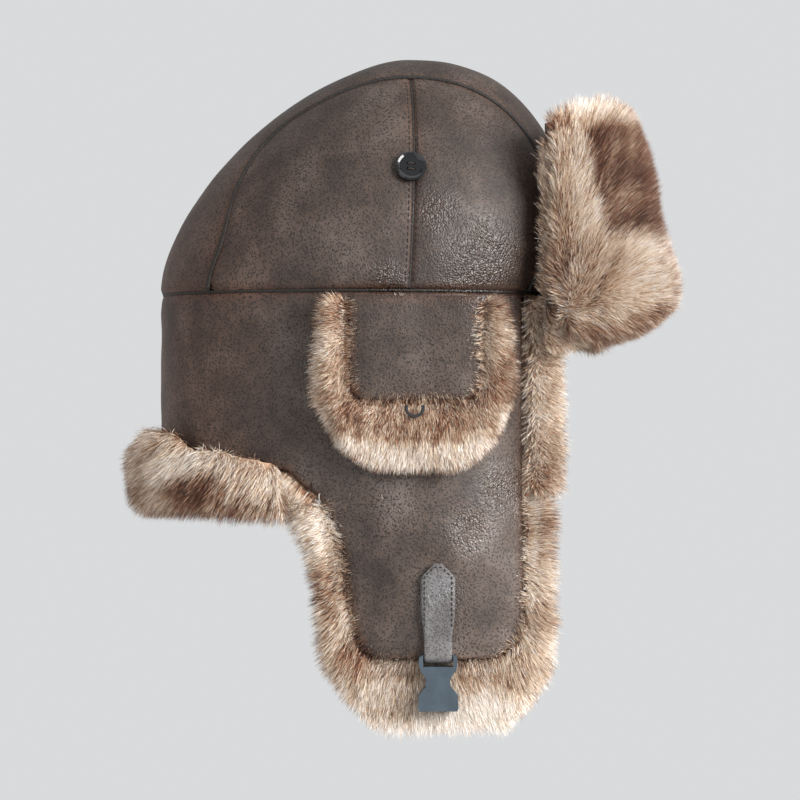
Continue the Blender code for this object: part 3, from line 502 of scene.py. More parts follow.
# Places on either side where the leather is rubbed glossy: Y, Z and radius
RUBBED = ((-0.072, 0.016, 0.036), (-0.048, 0.044, 0.018), (0.022, -0.044, 0.024), (0.012, -0.106, 0.022),
          (-0.010, -0.122, 0.026), (-0.084, -0.112, 0.022), (-0.066, -0.134, 0.018), (-0.020, 0.006, 0.014),
          (-0.048, -0.170, 0.020))
WHITE = (1.0, 1.0, 1.0)
SEAM_TINT = (1.12, 0.84, 0.66)
# Painted light by height: painted shade darkens the crown, and a painted sheen makes the flaps lighter and
# greyer
CROWN_SHADE_TINT, FLAP_SHEEN_TINT = (0.74, 0.71, 0.69), (1.34, 1.44, 1.52)
REAR_TINT = (1.38, 1.12, 0.98)


def rubbed_zones(tree, place):
    """A share from 0 to 1 that marks the rubbed places."""
    flat = add_node(tree, "VectorMath", {0: place, 1: (0.0, 1.0, 1.0)}, operation="MULTIPLY").outputs[0]
    total = 0.0
    for y, z, radius in RUBBED:
        far = add_node(tree, "VectorMath", {0: flat, 1: (0.0, y, z)}, operation="DISTANCE").outputs["Value"]
        near = step_between(tree, far, radius * 0.25, radius * 1.15, 1.0, 0.0)
        total = calculate(tree, "MAXIMUM", total, near)
    return total


def leather_material(name, base, light, dark, pits=0.85):
    """Distressed leather: dark pits, cloudy wear, rubbed glossy places, a pebbled grain, painted shade on
    the crown and painted sheen on the flaps.
    """
    made, tree, shader, place = material(name, specular=0.42)
    cloud = noise(tree, place, 30.0, 5.0, 0.62).outputs["Fac"]
    fine = noise(tree, place, 700.0, 3.0, 0.65).outputs["Fac"]
    warp = noise(tree, place, 300.0, 2.0).outputs["Color"]
    shift = add_node(tree, "VectorMath", {0: warp, 1: (0.0020,) * 3, 2: place},
                     operation="MULTIPLY_ADD").outputs[0]
    spots = add_node(tree, "TexVoronoi", {"Vector": shift, "Scale": 740.0},
                     feature="F1").outputs["Distance"]
    grain = add_node(tree, "TexVoronoi", {"Vector": shift, "Scale": 900.0, "Smoothness": 0.35},
                     feature="SMOOTH_F1").outputs["Distance"]

    tone = ramp(tree, cloud, (0.30, dark), (0.50, base), (0.70, light))
    speck = ramp(tree, calculate(tree, "MULTIPLY_ADD", fine, 0.6, spots), (0.62, 1.0), (0.76, 0.0))
    pitted = blend_colour(tree, calculate(tree, "MULTIPLY", speck, pits), tone, scaled(dark, 0.35))
    seam = add_node(tree, "Attribute", {}, attribute_name="seam").outputs["Fac"]
    part = blend_colour(tree, 0.9, pitted, blend_colour(tree, seam, WHITE, SEAM_TINT), "MULTIPLY")
    axes = add_node(tree, "SeparateXYZ", {0: place}).outputs
    # Painted shade on the crown, fading into a painted sheen that lightens and greys the flaps lower down
    shade_and_sheen_by_height = blend_colour(tree, step_between(tree, axes["Z"], 0.010, -0.170), CROWN_SHADE_TINT, FLAP_SHEEN_TINT)
    warm = blend_colour(tree, step_between(tree, axes["Y"], 0.020, 0.100), WHITE, REAR_TINT)
    toned = blend_colour(tree, 1.0, shade_and_sheen_by_height, warm, "MULTIPLY")

    worn = ramp(tree, cloud, (0.34, 0.55), (0.60, 1.0))
    patchy = calculate(tree, "MULTIPLY", rubbed_zones(tree, place), worn)
    pebbles = bump(tree, calculate(tree, "MULTIPLY_ADD", fine, 0.35, grain),
                   calculate(tree, "MULTIPLY_ADD", patchy, 0.45, 0.35), -0.0006)
    feed(tree, shader, {"Base Color": blend_colour(tree, 1.0, part, toned, "MULTIPLY"),
                        "Roughness": ramp(tree, patchy, (0.0, 0.62), (0.5, 0.40), (1.0, 0.22)),
                        "Normal": bump(tree, cloud, 0.35, 0.0025, Normal=pebbles)})
    return made


def fur_material(name, colour):
    """One dyed zone of the fur."""
    made, tree, shader, _ = material(name, colour, 0.72, 0.25)
    feed(tree, shader, {"Sheen Weight": 0.25, "Sheen Roughness": 0.4})
    return made


def pelt_material(name, base, dark):
    """The dense underfur between the longer hairs."""
    made, tree, shader, place = material(name, base, 0.9)
    coarse = noise(tree, place, 90.0, 4.0, 0.7).outputs["Fac"]
    feed(tree, shader, {"Base Color": ramp(tree, coarse, (0.35, dark), (0.65, base))})
    return made


def moulded_plastic(name, colour, roughness, texture):
    made, tree, shader, place = material(name, colour, roughness)
    slow = noise(tree, place, 120.0, 3.0).outputs["Fac"]
    fine = noise(tree, place, 900.0, 2.0).outputs["Fac"]
    tone = ramp(tree, slow, (0.3, scaled(colour, 0.85)), (0.7, scaled(colour, 1.15)))
    feed(tree, shader, {"Base Color": tone, "Normal": bump(tree, fine, texture, 0.0002)})
    return made


def woven_material(name, colour, scale):
    made, tree, shader, place = material(name, colour, 0.8)
    waves = [add_node(tree, "TexWave", {"Vector": place, "Scale": scale, "Distortion": 0.6},
                      bands_direction=direction).outputs["Fac"] for direction in ("Y", "Z")]
    weave = calculate(tree, "MULTIPLY", *waves)
    tone = ramp(tree, weave, (0.0, scaled(colour, 0.55)), (0.6, scaled(colour, 1.5)))
    feed(tree, shader, {"Base Color": tone, "Normal": bump(tree, weave, 0.6, 0.0004)})
    return made


def quilted_material(name, colour):
    """Satin lining with a diamond quilting, and painted shade in its grooves."""
    made, tree, shader, place = material(name, colour, 0.35)
    bands = []
    for turn in (0.785, -0.785):
        spun = add_node(tree, "Mapping", {"Vector": place, "Rotation": (turn, 0.0, turn)}).outputs[0]
        bands.append(add_node(tree, "TexWave", {"Vector": spun, "Scale": 9.0}).outputs["Fac"])
    puff = calculate(tree, "MINIMUM", *bands)
    # The colour follows the quilting's height: painted shade darkens the grooves
    feed(tree, shader, {"Base Color": ramp(tree, puff, (0.0, scaled(colour, 0.5)), (0.35, colour)),
                        "Normal": bump(tree, puff, 0.8, 0.003)})
    return made


BROWN = leather_material("brown_leather", (0.060, 0.039, 0.029), (0.108, 0.080, 0.067),
                         (0.024, 0.014, 0.010))
PIPING = leather_material("piping_leather", (0.014, 0.010, 0.008), (0.026, 0.019, 0.016),
                          (0.008, 0.006, 0.005))
TAB_BROWN = leather_material("tab_leather", (0.098, 0.086, 0.082), (0.165, 0.152, 0.148),
                             (0.048, 0.038, 0.034), 0.6)
THREAD = woven_material("brown_thread", (0.030, 0.020, 0.016), 260.0)
FUR_ZONES = [fur_material(*zone) for zone in (
    ("fur_dark", (0.115, 0.048, 0.029)), ("fur_rust", (0.360, 0.172, 0.098)),
    ("fur_tan", (0.620, 0.455, 0.315)), ("fur_cream", (0.840, 0.715, 0.570)),
    ("fur_pale", (0.950, 0.905, 0.855)))]
PELT = pelt_material("fur_underlayer", (0.480, 0.320, 0.210), (0.220, 0.120, 0.080))
SLATE = moulded_plastic("slate_plastic", (0.044, 0.062, 0.079), 0.34, 0.35)
BLACK = moulded_plastic("black_plastic", (0.004, 0.0045, 0.005), 0.10, 0.02)
WEBBING = woven_material("black_webbing", (0.020, 0.020, 0.022), 330.0)
LINING = quilted_material("lining_cloth", (0.070, 0.048, 0.036))
WADDING = woven_material("wadding", (0.75, 0.73, 0.70), 300.0)


# ---------------------------------------------------------------- leather pieces

def leather_sheet(name, grid, body, mirror=False, turned=SEAM_TURN, puff=0.0007):
    """A leather panel from a grid of outer points, with its thickness inside them."""
    normals = outward_normals(grid)
    gap = np.minimum.reduce(edge_runs(grid))
    outer = puffed(grid, normals, gap, turned, puff, waves=0.00018, calm=0.010)
    inner = grid - normals * LEATHER
    front = grid_faces(*grid.shape[:2])
    half = gap.size
    edges = {}
    for face in front:
        for a, b in zip(face, np.roll(face, -1)):
            if (b, a) in edges:
                del edges[(b, a)]
            else:
                edges[(a, b)] = True
    faces = [tuple(f) for f in front] + [tuple(f) for f in front[:, ::-1] + half]
    faces += [(b, a, a + half, b + half) for a, b in edges]
    points = np.concatenate([outer.reshape(-1, 3), inner.reshape(-1, 3)])
    piece = new_piece(name, points, faces, body, BROWN, mirror,
                      np.tile(seam_wear(gap), 2), tidy=True)
    return piece, outer


def stitches(name, lines, mirror, body="shell", length=0.0026, pitch=0.0036, radius=0.00032):
    """A row of short thread stitches along each line of surface points and normals."""
    ring = 6
    angles = 2 * math.pi * np.arange(ring)[:, None] / ring
    rises = np.array([-0.6, 0.7, 0.7, -0.6]) * radius
    widths = np.array([0.55, 1.0, 1.0, 0.55]) * radius
    points, faces = [], []
    for line, normals in lines:
        run = np.concatenate([[0], np.cumsum(np.linalg.norm(np.diff(line, axis=0), axis=1))])
        for start in np.arange(0.001, run[-1] - length, pitch):
            stops = start + length * np.array([0.0, 0.2, 0.8, 1.0])
            centre, up = (np.stack([np.interp(stops, run, values[:, k]) for k in range(3)], axis=1)
                          for values in (line, normals))
            up = unit(up)
            side = unit(np.cross(up, unit(centre[-1] - centre[0])))
            faces += loft_faces(4, ring, len(points))
            for c, u, s, rise, width in zip(centre, up, side, rises, widths):
                points += list(c + u * (rise + width * np.sin(angles)) + s * width * np.cos(angles))
    new_piece(name, points, faces, body, THREAD, mirror)


def tube(name, line, radius, mirror=False, made=PIPING, body="shell"):
    """A round cord along a line of points."""
    ring = 8
    along = unit(np.gradient(line, axis=0))
    side = unit(np.cross(along, [0.0, 0.0, 1.0]))
    up = np.cross(side, along)
    angles = np.linspace(0, 2 * math.pi, ring, endpoint=False)[None, :, None]
    points = line[:, None] + radius * (np.cos(angles) * side[:, None] + np.sin(angles) * up[:, None])
    new_piece(name, points.reshape(-1, 3), loft_faces(len(line), ring), body, made, mirror, tidy=True)


def line_beside(grid, normals, distance, from_end):
    """The line at a fixed distance from a grid's first row (or last row), with its normals."""
    if from_end:
        grid, normals = grid[::-1], normals[::-1]
    run = edge_runs(grid)[0]
    line, ups = [], []
    for column in range(grid.shape[1]):
        if run[-1, column] > distance * 1.5:
            for values, found in ((grid, line), (normals, ups)):
                found.append([np.interp(distance, run[:, column], values[:, column, k]) for k in range(3)])
    return np.array(line), unit(np.array(ups))


def crown_leather():
    """The centre strip and the four side panels, with the piping and stitches of their seams."""
    pitch = np.linspace(PITCH_END, math.pi - PITCH_END, 150)
    share = np.linspace(-1, 1, 61)
    share[30] = 1e-6
    strip = crown_points(strip_directions(pitch[:, None], share[None, :]))
    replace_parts(leather_sheet("crown_strip_leather", strip, "shell")[0], "crown_top_strip")
    seam_line = strip[:, 0] - unit(strip[:, 0] - RAY_ORIGIN) * PIPING_SUNK
    seam_foot = np.array([-1.0, (SIDE_SEAM_Y - RAY_ORIGIN[1]) / CROWN_HALF_WIDTH, PITCH_END])
    lines, edges = [], []
    parts = (("rear", PITCH_END, SEAM_PITCH, 70), ("front", SEAM_PITCH, pitch[-1], 56))
    for part, low, high, count in parts:
        rear = part == "rear"
        tops = strip_directions(np.linspace(low, high, count), np.full(count, -1.0))
        corner = strip_directions(np.array([low if rear else high]), np.array([-1.0]))[0]
        start, end = (corner, seam_foot) if rear else (seam_foot, corner)
        turns = np.linspace(math.atan2(start[1], -start[0]), math.atan2(end[1], -end[0]), count)
        feet = np.stack([-np.cos(turns), np.sin(turns), np.full(count, PITCH_END)], axis=1)
        grid = crown_points(mix(feet[:, None], tops[:, None], np.linspace(0, 1, 56)[None, :, None]))
        grid = grid[2:] if rear else grid[:-2]
        for side, mirror in SIDES:
            piece, outer = leather_sheet(f"crown_{part}_leather_{side}", grid, "shell", mirror)
            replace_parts(piece, f"crown_panel_{part}_{side}")
        line, ups = line_beside(outer, outward_normals(outer), STITCH_INSET, from_end=rear)
        lines.append((line[2:-2], ups[2:-2]))
        edges.append(outer[-1] if rear else outer[0])
    side_seam = (edges[0] + edges[1]) / 2
    side_seam -= unit(side_seam - RAY_ORIGIN) * SIDE_SEAM_SUNK
    for side, mirror in SIDES:
        tube(f"crown_side_seam_{side}", side_seam, SIDE_SEAM_RADIUS, mirror)
        stitches(f"crown_stitches_{side}", lines, mirror)
        tube(f"crown_piping_{side}", seam_line, PIPING_RADIUS, mirror)


def sunk(line):
    """A line on the band moved inwards, so that a cord along it fills the seam."""
    return line - unit((line - (0.0, CROWN_WIDEST_Y, 0.0)) * (1, 1, 0)) * SEAM_CORD_SUNK


def seam_cords():
    """Dark cords that fill the seam under the crown and the front band's end seams."""
    ring = outline_points(np.linspace(0, 2 * math.pi, 200), 0.0) - (0, 0, SEAM_CORD_DROP)
    tube("crown_seam_cord", sunk(ring), SEAM_CORD_RADIUS)
    end = outline_points(turn_at(BAND_FRONT_Y - 0.0007), np.linspace(0.0, FRONT_BAND_Z, 12))
    for side, mirror in SIDES:
        tube(f"front_seam_cord_{side}", sunk(end), SEAM_CORD_RADIUS, mirror)


def tab_width(z, neck):
    """A tab's width at a height: a blunt point at the top, and a neck where it enters the buckle."""
    share = np.clip((TAB_TOP_Z - z) / TAB_POINT_HEIGHT, 0.0, 1.0)
    return mix(TAB_TIP_WIDTH, TAB_WIDTH, share) - neck * smooth((BAR_Z + 0.0270 - z) / 0.0190)


def tab_leather(side):
    """The buckle tab: a strap with rounded edges, sewn round its upper part."""
    mirror = side == "left"
    body = f"ear_flap_{side}"
    shoulder = TAB_TOP_Z - TAB_POINT_HEIGHT
    end = BAR_Z + 0.0072
    front = np.concatenate([np.linspace(TAB_TOP_Z, shoulder, 14), np.linspace(shoulder, end, 30)[1:]])
    if mirror:
        heights = np.append(front, BAR_Z + 0.0037)
        line = np.stack([np.full(len(heights), TAB_FLAT_D), heights], axis=1)
        neck, surface = 0.0, TAB_FLAT_D
    else:
        angles = np.linspace(0, math.pi, 17)
        fold = np.stack([BAR_D + LOOP_RADIUS * np.cos(angles),
                         BAR_Z - LOOP_RADIUS * np.sin(angles)], axis=1)
        behind = np.linspace(end, TAB_TOP_Z - 0.002, 20)
        line = np.concatenate([np.stack([np.full(len(front), TAB_FRONT_D), front], axis=1), fold,
                               np.stack([np.full(len(behind), TAB_BACK_D), behind], axis=1)])
        neck, surface = TAB_NECK, TAB_FRONT_D
    along = unit(np.gradient(line, axis=0))[:, :, None]
    share = np.linspace(-1, 1, 17)
    rounded = STRAP / 2 * (1 - 0.75 * np.clip((np.abs(share) - 0.86) / 0.14, 0, 1) ** 2)
    groove = 0.00028 * np.exp(-((np.abs(share) - 0.80) / 0.06) ** 2)
    across = np.concatenate([share, share[::-1]])
    height = np.concatenate([rounded - groove, -rounded[::-1]])
    points = np.stack([TAB_BASE_X - line[:, :1] + along[:, 1] * height,
                       TAB_Y + tab_width(line[:, 1:], neck) / 2 * across,
                       line[:, 1:] + along[:, 0] * height], axis=-1)
    faces = loft_faces(len(line), len(across))
    piece = new_piece(f"buckle_tab_leather_{side}", points.reshape(-1, 3), faces, body, TAB_BROWN,
                      mirror, tidy=True)
    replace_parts(piece, f"buckle_tab_{side}")
    sewn = np.concatenate([np.linspace(STITCH_END_Z, shoulder - 0.0008, 20),
                           np.linspace(shoulder, TAB_TOP_Z - 0.0021, 8)])
    x = np.full(len(sewn), TAB_BASE_X - surface - STRAP / 2 + 0.0002)
    left = np.stack([x, TAB_Y - tab_width(sewn, 0.0) / 2 + 0.0019, sewn], axis=1)
    line = np.concatenate([left, (left * (1, -1, 1) + (0, 2 * TAB_Y, 0))[::-1]])
    ups = np.tile([-1.0, 0.0, 0.0], (len(line), 1))
    stitches(f"buckle_tab_stitches_{side}", [(line, ups)], mirror, body,
             length=0.0021, pitch=0.0029, radius=0.00036)


def strap_joint():
    """The webbing's roll round the end of the left tab, where the chin strap swings."""
    y = np.linspace(TAB_Y - 0.0076, TAB_Y + 0.0076, 6)
    line = np.stack([np.full(6, -TAB_BASE_X + 0.0029), y, np.full(6, BAR_Z + 0.0015)], axis=1)
    tube("chin_strap_roll", line, 0.0024, False, WEBBING, "ear_flap_left")


def button_threads():
    """Two bars of thread across each button's holes."""
    direction = np.array(BUTTON_DIRECTION)
    seat = crown_points(direction)
    east = crown_points(direction + (0, 0.05, 0)) - crown_points(direction - (0, 0.05, 0))
    north = crown_points(direction + (0.03, 0, 0.05)) - crown_points(direction - (0.03, 0, 0.05))
    normal = unit(np.cross(north, east))
    normal = normal * math.copysign(1.0, normal[2])
    east = unit(east)
    north = np.cross(normal, east)
    run = np.linspace(-1, 1, 9)[:, None]
    for side, mirror in SIDES:
        for number, offset in enumerate((-0.0017, 0.0017)):
            line = seat + north * offset + east * 0.0021 * run + normal * (0.0036 - 0.0012 * run ** 4)
            tube(f"button_thread_{side}_{number + 1}", line, 0.0004, mirror, THREAD)


def ear_hole(grid):
    """The cells of a wall grid that lie in the ear opening."""
    centre = (grid[:-1, :-1, 1:] + grid[1:, 1:, 1:]) / 2
    return (((centre - EAR_HOLE) / EAR_HOLE_RADII) ** 2).sum(axis=2) < 1.0


def side_grids():
    """The right side as two grids: the band behind the ear, and the band and ear flap over the ear."""
    flap_turn = turn_at(0.0215)
    back = np.linspace(math.radians(90) + 0.0016, flap_turn, 60)[:-1]
    turns = np.concatenate([back, np.linspace(flap_turn, turn_at(BAND_FRONT_Y), 90)])
    bottom = band_bottom(outline_points(turns, 0.0)[:, 1])
    band = np.array([outline_points(turns, mix(-0.0006, bottom, share)) for share in np.linspace(0, 1, 50)])
    z = np.concatenate([np.linspace(FOLD_Z, -0.180, 34)[1:],
                        np.linspace(-0.180, FLAP_BOTTOM_Z, 22)[1:]])[:, None]
    y = mix(flap_rear(z), flap_front(z), np.linspace(0, 1, 90))
    flap = np.stack(np.broadcast_arrays(-wall_half_width(y, z), y, z), axis=-1)
    return band[:, :len(back) + 1], np.concatenate([band[:, len(back):], flap])


def side_leather():
    """Band and ear flap in one skin of leather on each side, running down through the fold."""
    for side, mirror in SIDES:
        points, faces, seams = [], [], []
        for over_ear, grid in enumerate(side_grids()):
            top, bottom, first, last = edge_runs(grid)
            flap = over_ear & (grid[..., 2] < FOLD_Z + 0.002)
            ends = np.where(flap, np.minimum(first, last), last if over_ear else first)
            gap = np.minimum(np.minimum(top, bottom), ends)
            hole = ear_hole(grid) if over_ear else None
            faces += [tuple(f) for f in grid_faces(*gap.shape, hole, sum(len(p) for p in points))]
            outer = puffed(grid, outward_normals(grid), gap, SEAM_TURN,
                           puff=0.0006, waves=0.00028, calm=0.012)
            points.append(outer.reshape(-1, 3))
            seams.append(seam_wear(gap))
        piece = new_piece(f"side_leather_{side}", np.concatenate(points), faces, None, BROWN, mirror=mirror,
                          seams=np.concatenate(seams))
        shape = bmesh.new()
        shape.from_mesh(piece.data)
        bmesh.ops.remove_doubles(shape, verts=shape.verts, dist=0.0004)
        bmesh.ops.recalc_face_normals(shape, faces=shape.faces)
        shape.faces.ensure_lookup_table()
        probe = shape.faces[len(shape.faces) // 3]
        middle = probe.calc_center_median()
        if probe.normal.dot(Vector((middle.x, middle.y, 0.0))) < 0:
            bmesh.ops.reverse_faces(shape, faces=shape.faces)
        shape.to_mesh(piece.data)
        shape.free()
        thick = piece.modifiers.new("thickness", "SOLIDIFY")
        thick.thickness = LEATHER
        thick.offset = -1.0
        apply_modifiers(piece)
        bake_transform(piece)
        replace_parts(piece, f"side_band_{side}", f"ear_flap_leather_{side}")


def front_band_leather():
    start = turn_at(BAND_FRONT_Y - 0.0015)
    turns = np.linspace(start, 3 * math.pi - start, 60)
    grid = outline_points(turns[None, :], np.linspace(-0.0006, FRONT_BAND_Z, 16)[:, None])
    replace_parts(leather_sheet("front_band_leather", grid, "shell")[0], "front_band")


def cover_leather():
    z = np.concatenate([np.linspace(-0.0035, -0.048, 34), np.linspace(-0.048, -0.061, 16)[1:]])[:, None]
    y = COVER_MIDDLE_Y + cover_half(z) * np.linspace(1, -1, 48)
    for side, mirror in SIDES:
        piece, _ = leather_sheet(f"ear_cover_patch_{side}", cover_points(y, z, COVER_OUT),
                                 f"ear_cover_{side}", mirror, turned=0.0009, puff=0.0008)
        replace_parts(piece, f"ear_cover_leather_{side}")


# ---------------------------------------------------------------- fur

# A hair is a strip: three left points, three right points and the tip, as two quads and a triangle
HAIR_LOOPS = np.array([0, 3, 4, 1, 1, 4, 5, 2, 2, 5, 6])
HAIR_FACE_STARTS = np.array([0, 4, 8])


def fur_bed(name, node, shrink, voxel, body, tuck=None):
    """The dense underfur: the CAD solid, rounded and drawn in below the ends of the hairs."""
    piece = link_object(name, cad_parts[node].data.copy())
    remesh = piece.modifiers.new("remesh", "REMESH")
    remesh.mode = "VOXEL"
    remesh.voxel_size = voxel
    apply_modifiers(piece)
    mesh = piece.data
    edges = read_array(mesh.edges, "vertices", 2, int)
    degree = np.bincount(edges.ravel(), minlength=len(mesh.vertices))[:, None]

    def relax(values, rounds):
        for _ in range(rounds):
            total = np.zeros_like(values)
            np.add.at(total, edges[:, 0], values[edges[:, 1]])
            np.add.at(total, edges[:, 1], values[edges[:, 0]])
            values = values * 0.5 + total / np.maximum(degree, 1) * 0.5
        return values

    points = relax(read_array(mesh.vertices, "co"), 4)
    mesh.vertices.foreach_set("co", points.ravel())
    mesh.update()
    normals = unit(relax(read_array(mesh.vertices, "normal"), 6))
    points = points - normals * shrink
    if tuck:
        tuck(points)
    mesh.vertices.foreach_set("co", points.ravel())
    mesh.update()
    mesh.shade_smooth()
    mesh.materials.clear()
    mesh.materials.append(PELT)
    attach(piece, body)
    return piece, normals


def scatter(piece, normals, count, density, rng):
    """Random places on a piece's faces with their smooth normals: density(points, normals) thins them."""
    mesh = piece.data
    mesh.calc_loop_triangles()
    faces = read_array(mesh.loop_triangles, "vertices", 3, int)
    corners = read_array(mesh.vertices, "co")[faces]
    one, other = corners[:, 1] - corners[:, 0], corners[:, 2] - corners[:, 0]
    area = np.linalg.norm(np.cross(one, other), axis=1) / 2
    weight = area * density(corners.mean(axis=1), unit(normals[faces].mean(axis=1)))
    chosen = rng.choice(len(faces), size=count, p=weight / weight.sum())
    a, b = rng.random(count), rng.random(count)
    flip = a + b > 1
    a[flip], b[flip] = 1 - a[flip], 1 - b[flip]
    share = np.stack([1 - a - b, a, b], axis=1)[..., None]
    return (corners[chosen] * share).sum(axis=1), unit((normals[faces[chosen]] * share).sum(axis=1))


def noise_field(points, scale, seed):
    """Smooth values from about -1 to 1 that vary over a length of 1 / scale."""
    local = np.random.default_rng(seed)
    total = np.zeros(len(points))
    for _ in range(7):
        wave = local.normal(size=3) * scale
        total += np.sin(points @ wave + local.random() * 6.28)
    return total / 2.6


def grow_fur(name, places, normals, comb, body, length, lean, seed, bias=0.0, fringe=0.35):
    """Hairs as tapered strips: rooted at places, leaning from the normal towards comb, in small clumps."""
    rng = np.random.default_rng(seed)
    count = len(places)
    lean = np.broadcast_to(lean, count)[:, None]
    wander = np.stack([noise_field(places, 110.0, seed + k) for k in range(3)], axis=1)
    comb = unit(unit(comb) + wander * 0.20)
    sizes = length * (0.84 + 0.30 * rng.random(count)) * (1 + 0.07 * noise_field(places, 150.0, seed + 9))
    start = unit(normals * (1 - lean) + comb * lean + rng.normal(size=(count, 3)) * 0.11)
    bend = comb * 0.50 + (0, 0, -0.08) + rng.normal(size=(count, 3)) * 0.10
    levels = HAIR_LEVELS[None, :, None]
    curve = levels * start[:, None] + 0.42 * levels ** 2 * bend[:, None]
    path = places[:, None] + sizes[:, None, None] * curve
    leaders = rng.choice(count, size=max(count // HAIRS_PER_CLUMP, 4), replace=False)
    tree = kdtree.KDTree(len(leaders))
    for k, leader in enumerate(leaders):
        tree.insert(places[leader], k)
    tree.balance()
    nearest = np.array([leaders[tree.find(p)[1]] for p in places])
    pull = CLUMP_PULL * (0.4 + 0.6 * rng.random(count))[:, None, None] * levels ** 1.6
    near = np.linalg.norm(places[nearest] - places, axis=1) < CLUMP_REACH
    path = path + (path[nearest] - path) * pull * near[:, None, None]
    facing = unit(normals + rng.normal(size=(count, 3)) * 0.45)
    side = unit(np.cross(unit(path[:, 1:] - path[:, :-1]), facing[:, None]))
    widths = HAIR_TAPER[None, :, None] * HAIR_WIDTH * (0.8 + 0.5 * rng.random(count))[:, None, None]
    half = side * widths / 2
    points = np.concatenate([path[:, :3] - half, path[:, :3] + half, path[:, 3:]], axis=1)
    zones = hair_zones(places, nearest, rng, bias, fringe)
    for part, first in enumerate(range(0, count, PIECE_LIMIT)):
        chosen = slice(first, first + PIECE_LIMIT)
        label = f"{name}_{part + 1}"
        piece = link_object(label, hair_mesh(label, points[chosen], zones[chosen]))
        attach(piece, body)


def hair_zones(places, nearest, rng, bias, fringe):
    """Each hair's colour zone at its root, middle and tip: bias is above 0 where the fur is paler."""
    count = len(places)
    shade = (bias + 0.36 * noise_field(places, 130.0, 3) + 0.36 * noise_field(places[nearest], 480.0, 5)
             + rng.normal(size=count) * 0.66)
    tip = np.where(rng.random(count) < fringe, shade - 1.9, shade + 0.50)
    return np.searchsorted(ZONE_LIMITS, np.stack([shade - 0.9, shade, tip], axis=1))


def hair_mesh(name, points, zones):
    """Many hairs in one mesh, from each hair's points and its faces' colour zones."""
    hairs = np.arange(len(points))[:, None]
    loops = (hairs * points.shape[1] + HAIR_LOOPS).ravel()
    starts = (hairs * len(HAIR_LOOPS) + HAIR_FACE_STARTS).ravel()
    mesh = bpy.data.meshes.new(name)
    mesh.vertices.add(points.size // 3)
    mesh.vertices.foreach_set("co", points.ravel())
    mesh.loops.add(len(loops))
    mesh.loops.foreach_set("vertex_index", loops.astype(np.int32))
    mesh.polygons.add(len(starts))
    mesh.polygons.foreach_set("loop_start", starts.astype(np.int32))
    mesh.polygons.foreach_set("material_index", zones.ravel().astype(np.int32))
    mesh.update(calc_edges=True)
    for zone in FUR_ZONES:
        mesh.materials.append(zone)
    mesh.shade_smooth()
    return mesh


def dark_tips(turned, base):
    """The share of hairs with dark tips: more of them where the fur is seen edge on."""
    return base + 0.35 * smooth((0.75 - np.abs(turned[:, 0])) / 0.5)


def anywhere(points, normals):
    return np.ones(len(points))


def patches(points, marks):
    """How strongly the soft oval marks of a side view cover each point."""
    total = 0.0
    for y, z, wide, high, strength in marks:
        away = (points[:, 1:] - (y, z)) / (wide, high)
        total = total + strength * (1.0 - smooth(np.linalg.norm(away, axis=1) - 0.45))
    return total


def press(points, sign, covered, limit):
    """Keep the covered points within a limit across the hat."""
    x = np.abs(points[:, 0])
    points[:, 0] = sign * np.where(covered, np.minimum(x, limit), x)


def flap_fur(side, budget):
    """Fur of an ear flap: a rolled edge round the leather and the lining behind it."""
    sign = SIGN[side]
    body = f"ear_flap_{side}"

    def tuck(points):
        y, z = points[:, 1], points[:, 2]
        covered = (z > FLAP_BOTTOM_Z) & (flap_out(y, z) < 0.001)
        press(points, sign, covered, wall_half_width(y, z) - LEATHER - 0.0012)

    def density(points, turned):
        y, z = points[:, 1], points[:, 2]
        behind = (z > FLAP_BOTTOM_Z + 0.002) & (flap_out(y, z) < -0.001)
        share = np.where(behind, np.where(turned[:, 0] * sign > 0.2, 0.0, 0.35), 1.0)
        return np.where((turned[:, 2] > 0.75) & (z > FOLD_Z - 0.006), 0.0, share)

    bed, normals = fur_bed(f"ear_flap_pelt_{side}", f"ear_flap_fur_{side}", *FLAP_BED, body, tuck)
    rng = np.random.default_rng(SEED + sign)
    places, turned = scatter(bed, normals, budget, density, rng)
    y, z = places[:, 1], places[:, 2]
    out = flap_out(y, z)
    outer = turned[:, 0] * sign

    away = places - (sign * 0.088, -0.047, -0.150)
    away[:, 0] = sign * 0.010 * np.sign(outer)
    away = unit(away)
    comb = away + (0, 0, -0.40)
    over = (np.abs(out - 0.0030) < 0.0020) & (outer > 0.2) & (rng.random(budget) < 0.45)
    comb[over] = away[over] * -0.8 + (sign * 1.5, 0, 0.1)
    inner = outer < -0.3
    comb[inner] = unit(turned[inner] * 0.3 + (0, -0.2, -1.0))

    pale = smooth((out - 0.012) / 0.010) * smooth((FLAP_BOTTOM_Z + 0.010 - z) / 0.02)
    ring = np.exp(-((out - 0.004) / 0.0055) ** 2) * smooth((-0.150 - z) / 0.03)
    bias = 0.60 + 0.6 * pale - 1.4 * patches(places, FLAP_MARKS) - ring
    corner = smooth((np.abs(y + 0.047) - 0.030) / 0.020) * smooth((-0.205 - z) / 0.015)
    grow_fur(f"ear_flap_fur_strands_{side}", places, turned, comb, body, FUR_LENGTH * (1 - 0.30 * corner),
             np.where(inner, 0.55, 0.48), SEED + 10 + sign, bias, dark_tips(turned, 0.22))
    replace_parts(bed, f"ear_flap_fur_{side}")


